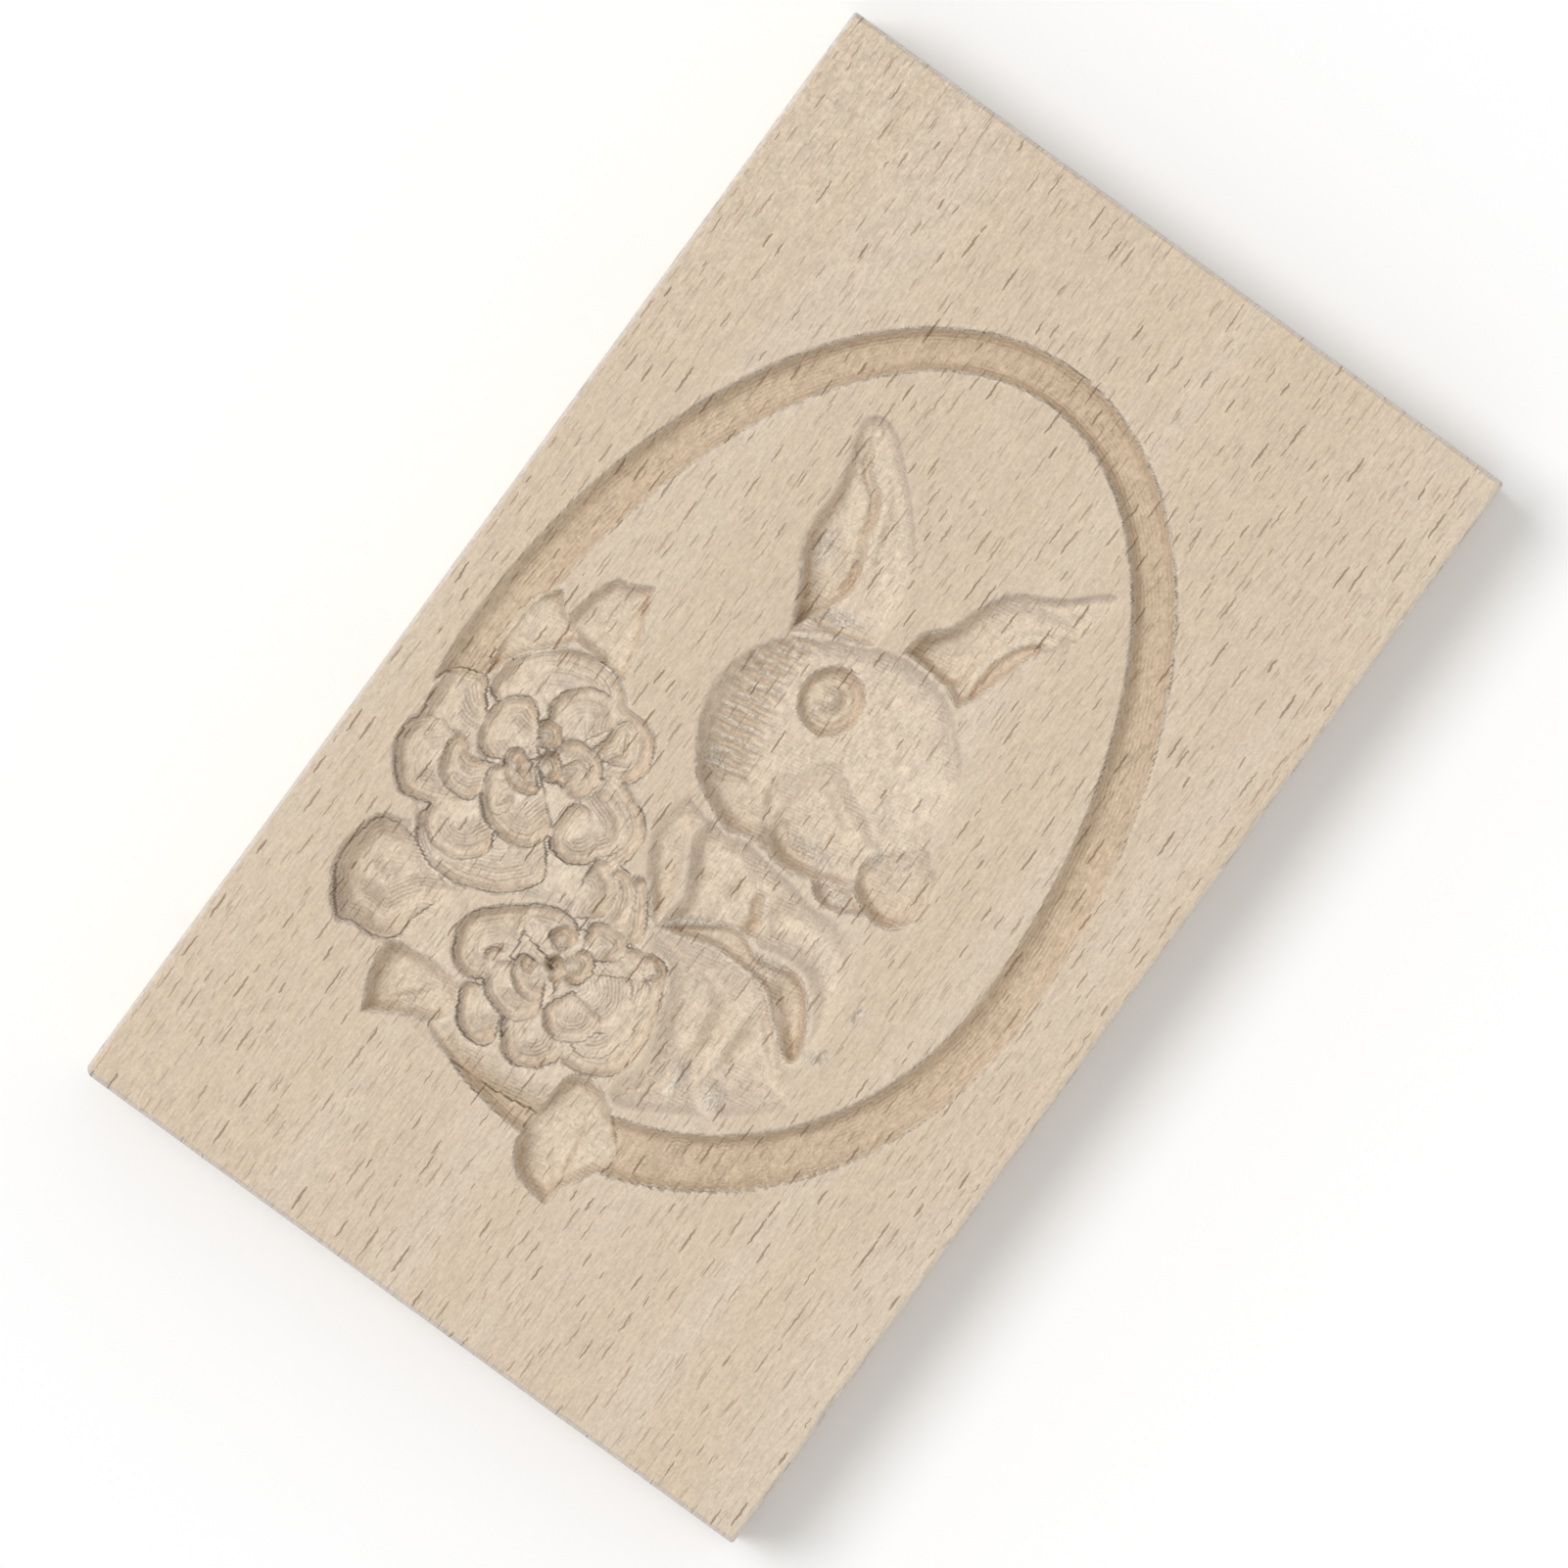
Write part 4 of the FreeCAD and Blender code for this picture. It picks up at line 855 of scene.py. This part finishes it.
# its noises: size in mm across, along and through the board, shift, detail, roughness and
# distortion
beechPatterns = {
    "bands": ((9.0, 160.0, 9.0), 3.1, 3.0, 0.55, 0.0),  # from one growth band to the next
    "pinkBands": ((15.3, 90.0, 9.0), 9.4, 2.0, 0.5, 0.0),
    "narrow": ((1.3, 60.0, 1.3), 7.7, 2.0, 0.5, 0.0),
    "fibres": ((0.24, 1.68, 0.24), 0.0, 2.0, 0.6, 0.3),  # finer in real wood
    "felt": ((0.33, 0.45, 0.33), 5.5, 2.0, 0.7, 0.4),
    "mottle": ((0.8, 1.1, 0.8), 2.2, 4.0, 0.65, 0.8),
    "wander": ((2.2, 2.2, 2.2), 8.8, 2.0, 0.5, 0.0),  # of the cutter's marks
    "rippleFade": ((3.0, 3.0, 3.0), 1.1, 2.0, 0.5, 0.0),
    "frayed": ((0.35, 0.9, 0.6), 6.1, 3.0, 0.6, 1.0),
    "wobble": ((0.9, 0.7, 3.0), 1.7, 1.0, 0.5, 0.0),  # of the flecks
    "smallWobble": ((0.9, 0.7, 3.0), 12.3, 1.0, 0.5, 0.0),
}

# settings that many of its nodes share
smooth = {"interpolation_type": "SMOOTHSTEP"}
times = {"operation": "MULTIPLY"}
timesPlus = {"operation": "MULTIPLY_ADD"}


def placeOf(size, shift):
    # settings that fit a pattern to its size in mm
    return {"Scale": [1 / v for v in size], "Location": (shift, shift * 0.7, shift * 0.3)}


def patternNodes(add, spot):
    found = {}
    for name, (size, shift, detail, roughness, distortion) in beechPatterns.items():
        moved = add("Mapping", {0: spot, **placeOf(size, shift)})
        found[name] = add("TexNoise", {"Vector": moved, "Scale": 1.0, "Detail": detail,
                                       "Roughness": roughness, "Distortion": distortion}, "Fac")
    return found


def fleckNodes(add, spot, wobble, shrink, shift, strength, shareLost):
    # ray flecks: thin lens-shaped sheets that stand along the grain and show as dashes
    apart = [v * shrink for v in beech["fleckSpacing"]]
    thick, tall, deep = [v * shrink ** 0.5 for v in beech["fleckSize"]]
    push = add("Math", (add("Math", (wobble, 0.5), operation="SUBTRACT"), 0.2), **times)
    moved = add("VectorMath", (add("Mapping", {0: spot, **placeOf(apart, shift)}),
                               add("CombineXYZ", (push,))), operation="ADD")
    cell = add("TexVoronoi", {"Vector": moved, "Scale": 1.0, "Randomness": 0.85}, None).outputs
    away = add("VectorMath", (moved, cell["Position"]), operation="SUBTRACT")
    gaps = add("SeparateXYZ", (away,), None).outputs
    chance = add("SeparateXYZ", (cell["Color"],), None).outputs
    share = add("Math", (chance["Y"], 0.8, 0.4), **timesPlus)
    along = add("Math", (add("Math", (gaps["Y"], apart[1] / tall), **times), share), operation="DIVIDE")
    through = add("Math", (gaps["Z"], apart[2] / deep), **times)
    bend = add("Math", (along, along, add("Math", (through, through), **times)), **timesPlus)
    taper = add("Math", (1.0, bend), operation="SUBTRACT", use_clamp=True)
    width = add("Math", (chance["Z"], thick * 0.6, thick * 0.5), **timesPlus)
    width = add("Math", (add("Math", (taper, 0.5), operation="POWER"), width), **times)
    gap = add("Math", (add("Math", (gaps["X"],), operation="ABSOLUTE"), apart[0]), **times)
    mask = add("MapRange", (add("Math", (width, gap), operation="SUBTRACT"), -0.05, 0.05), **smooth)
    ends = add("MapRange", (taper, 0.0, 0.2), **smooth)
    dark = add("MapRange", (chance["X"], shareLost, 0.9, 0.3, 1.0), **smooth)
    present = add("Math", (chance["X"], shareLost), operation="GREATER_THAN")
    for factor in (ends, present, dark, strength):
        mask = add("Math", (mask, factor), **times)
    return mask


def beechMaterial():
    material = bpy.data.materials.new("beech_milled_sanded")
    material.use_nodes = True
    tree = material.node_tree
    tree.nodes.clear()
    add = partial(addNode, tree)
    spot = add("VectorMath", {0: add("TexCoord", output="Object"), "Scale": 1 / mm}, operation="SCALE")
    x, y, z = add("SeparateXYZ", (spot,), None).outputs
    facing = add("SeparateXYZ", (add("TexCoord", output="Normal"),), None).outputs
    tilt = add("Math", (facing["Y"],), operation="ABSOLUTE")
    pattern = patternNodes(add, spot)
    cut, nookShade, cutterWay, inPetal, milledShare, tornShare = [
        add("Attribute", output="Fac", attribute_name=name)
        for name in ("cut", "nookShade", "sweep", "petal", "milled", "torn")]

    # fine fibres along the grain and a felt-like unevenness
    felt = add("Math", (pattern["felt"], 0.45), **times)
    grain = add("Math", (pattern["fibres"], 0.55, felt), **timesPlus)
    topCorner = add("MapRange", (add("Math", (y, x), operation="SUBTRACT"), 60.0, 120.0, 0.25, 1.0), **smooth)
    mottleShare = add("Math", (cut, topCorner), operation="MAXIMUM")

    # the cutter left fine ripples that follow its path
    drift = add("Math", (pattern["wander"], 5.0), **times)
    phase = add("Math", (cutterWay, 2 * math.pi / beech["ripple"], drift), **timesPlus)
    ripples = add("Math", (add("Math", (phase,), operation="SINE"), cut), **times)
    fade = add("MapRange", (pattern["rippleFade"], 0.35, 0.6), **smooth)
    ripples = add("Math", (ripples, fade), **times)

    # and steps where its strokes lie over each other in the petals
    strokes = add("Math", (cutterWay, beech["stroke"]), operation="DIVIDE")
    steps = add("Math", (add("Math", (pattern["wander"], 1.1, strokes), **timesPlus),), operation="FRACT")
    steps = add("Math", (add("Math", (steps, inPetal), **times), cut), **times)

    flecks = [fleckNodes(add, spot, pattern[name], *rest) for name, *rest in beech["flecks"]]
    fleckMask = add("Math", flecks, operation="MAXIMUM")

    # fibres roughed up on the crests are pale and the crests also get a painted highlight; the board's eased
    # edges are made paler by a painted reflection
    crest = add("MapRange", (nookShade, -0.1, -0.7), **smooth)
    for factor in ((pattern["mottle"], 0.4, 0.6, 0.1, 0.8), (tilt, 0.05, 0.4, 0.25, 1.0)):
        crest = add("Math", (crest, add("MapRange", factor, **smooth)), **times)
    beside = [add("Math", (add("Math", (place,), operation="ABSOLUTE"), size / 2), operation="SUBTRACT")
              for place, size in ((x, board["width"]), (y, board["length"]))]
    rim = add("Math", beside, operation="MAXIMUM")
    rim = add("Math", (rim, -beech["edgeWidth"]), operation="GREATER_THAN")
    for factor in ((facing["Z"], 0.99, 0.85), (facing["Z"], 0.1, 0.4)):
        rim = add("Math", (rim, add("MapRange", factor, **smooth)), **times)
    frayed = add("MapRange", (pattern["frayed"], 0.4, 0.56, 0.15, 0.9), **smooth)
    frayed = add("Math", (tornShare, frayed), **times)

    # from the bands of the wood to the end grain of the cuts and the brown of the nooks, which is painted
    # shade
    colour = toLinear(beech["pale"])
    for share, tint in (
        (add("MapRange", (pattern["bands"], 0.35, 0.62), **smooth), "honey"),
        (add("MapRange", (pattern["pinkBands"], 0.45, 0.7, 0.0, 0.8), **smooth), "pink"),
        (add("MapRange", (pattern["narrow"], 0.3, 0.75, 0.0, 0.28), **smooth), "honey"),
        (add("MapRange", (tilt, 0.05, 0.5, 0.0, 0.95), **smooth), "endGrain"),
        (add("Math", (cut, 0.5), **times), "freshCut"),
        # the milled floor is darkened partly by its surface and partly by painted shade
        (add("Math", (milledShare, 0.75), **times), "milledFloorAndShade"),
        # painted shade: the nooks are darkened and browned
        (add("MapRange", (nookShade, 0.1, 0.9, 0.0, 0.3), **smooth), "nookShade"),
        # crests: pale fuzz and a painted highlight
        (crest, "fuzzAndHighlight"),
        # painted reflection: the eased edges are made paler and greyer
        (add("Math", (rim, 0.6), **times), "edge"),
        (add("Math", (frayed, 0.8), **times), "torn"),
    ):
        colour = add("Mix", {0: share, 6: colour, 7: toLinear(beech[tint])}, 2, data_type="RGBA")
    uneven = add("Math", (pattern["mottle"], 0.5), operation="SUBTRACT")
    uneven = add("Math", (uneven, mottleShare), **times)
    shade = add("Math", (ripples, 0.035, 1.0), **timesPlus)
    for factor in ((grain, 0.3, 0.7, 0.87, 1.13), (uneven, -0.25, 0.25, 0.84, 1.15)):
        shade = add("Math", (shade, add("MapRange", factor, **smooth)), **times)
    colour = add("VectorMath", {0: colour, "Scale": shade}, operation="SCALE")
    colour = add("Mix", {0: fleckMask, 6: colour, 7: toLinear(beech["fleck"])}, 2, data_type="RGBA")

    # height of the fine relief in mm
    rough = add("Math", (pattern["mottle"], mottleShare), **times)
    height = 0.0
    for part, amount in ((grain, 0.11), (fleckMask, -0.04), (ripples, 0.028), (steps, 0.03),
                         (frayed, 0.09), (rough, 0.14)):
        height = add("Math", (part, amount, height), **timesPlus)
    bump = add("Bump", {"Height": height, "Strength": 1.0, "Distance": mm})
    shader = add("BsdfPrincipled", {"Base Color": colour, "Normal": bump,
                                    "Roughness": beech["roughness"], "IOR": beech["ior"]})
    add("OutputMaterial", {"Surface": shader}, None)
    return material


piece.data.materials.append(beechMaterial())
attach(piece, "root")
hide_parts("carved_board")

print("setting the stage")
paper = {
    "colour": "#FFFFFF",
    "roughness": 0.9,
    "specular": 0.1,
    "half": 1.5,  # metres from its middle to its sides
    "gap": 0.0001,  # metres under the board
}


def whiteFloor():
    # matt paper, white like the photo's background
    material = bpy.data.materials.new("white_paper_matt")
    material.use_nodes = True
    shader = material.node_tree.nodes["Principled BSDF"]
    shader.inputs["Base Color"].default_value = toLinear(paper["colour"])
    shader.inputs["Roughness"].default_value = paper["roughness"]
    shader.inputs["Specular IOR Level"].default_value = paper["specular"]
    half = paper["half"]
    corners = [(-half, -half, 0), (half, -half, 0), (half, half, 0), (-half, half, 0)]
    floorMesh = bpy.data.meshes.new("floor")
    floorMesh.from_pydata(corners, [], [(0, 1, 2, 3)])
    floor = bpy.data.objects.new("floor", floorMesh)
    floor.location.z = lowCorner[2] - paper["gap"]
    floorMesh.materials.append(material)
    bpy.context.scene.collection.objects.link(floor)


whiteFloor()

studio = {
    "ambient": 0.63,  # share of the light that comes from all round
    "key": 1.38,
    "keyAngle": 30.0,  # degrees the soft key seems wide
    "keyFrom": (-0.6, -0.12, 1.0),
    "keyDistance": 0.5,
}


def lightStudio():
    # the world lights the board softly and is seen as plain white
    world = bpy.data.worlds.new("studio")
    bpy.context.scene.world = world
    world.use_nodes = True
    world.node_tree.nodes.clear()
    add = partial(addNode, world.node_tree)
    path = add("LightPath", (), None).outputs
    seen = add("Math", (path["Is Camera Ray"], path["Is Glossy Ray"]), operation="MAXIMUM")
    seen = add("Math", (seen, path["Is Transmission Ray"]), operation="MAXIMUM")
    lit, white = [add("Background", ((1, 1, 1, 1), strength)) for strength in (studio["ambient"], 1.0)]
    add("OutputWorld", (add("MixShader", (seen, lit, white)),), None)
    sun = bpy.data.lights.new("key", "SUN")
    sun.energy = studio["key"]
    sun.angle = math.radians(studio["keyAngle"])
    lamp = bpy.data.objects.new("key", sun)
    direction = Vector(studio["keyFrom"]).normalized()
    lamp.rotation_euler = direction.to_track_quat("Z", "Y").to_euler()
    lamp.location = direction * studio["keyDistance"]
    bpy.context.scene.collection.objects.link(lamp)


lightStudio()

photo = {
    "size": 1601,  # pixels along both sides
    "boardMiddle": (810.5, 793.8),
    "turn": 36.05,  # degrees from the picture's up to the board's length, clockwise
    "pixelsPerMm": 9.113,
    "distance": 1.6,  # metres, a long lens with almost no perspective
    "sensor": 36.0,
    "farthest": 10.0,  # metres that the camera sees
}


def placeCamera():
    camera = bpy.data.cameras.new("camera")
    viewer = bpy.data.objects.new("camera", camera)
    turn = math.radians(photo["turn"])
    right = Vector((math.cos(turn), math.sin(turn), 0))
    up = Vector((-math.sin(turn), math.cos(turn), 0))
    pixel = mm / photo["pixelsPerMm"]
    shiftX = (photo["size"] / 2 - photo["boardMiddle"][0]) * pixel
    shiftY = (photo["boardMiddle"][1] - photo["size"] / 2) * pixel
    middle = right * shiftX + up * shiftY
    viewer.location = Vector((middle.x, middle.y, highCorner[2] + photo["distance"]))
    viewer.rotation_euler = (0, 0, turn)
    camera.sensor_width = photo["sensor"]
    camera.lens = photo["sensor"] * photo["distance"] / (photo["size"] * pixel)
    camera.clip_end = photo["farthest"]
    camera.dof.use_dof = False
    bpy.context.scene.collection.objects.link(viewer)
    bpy.context.scene.camera = viewer


placeCamera()
bpy.context.scene.view_settings.view_transform = "Standard"
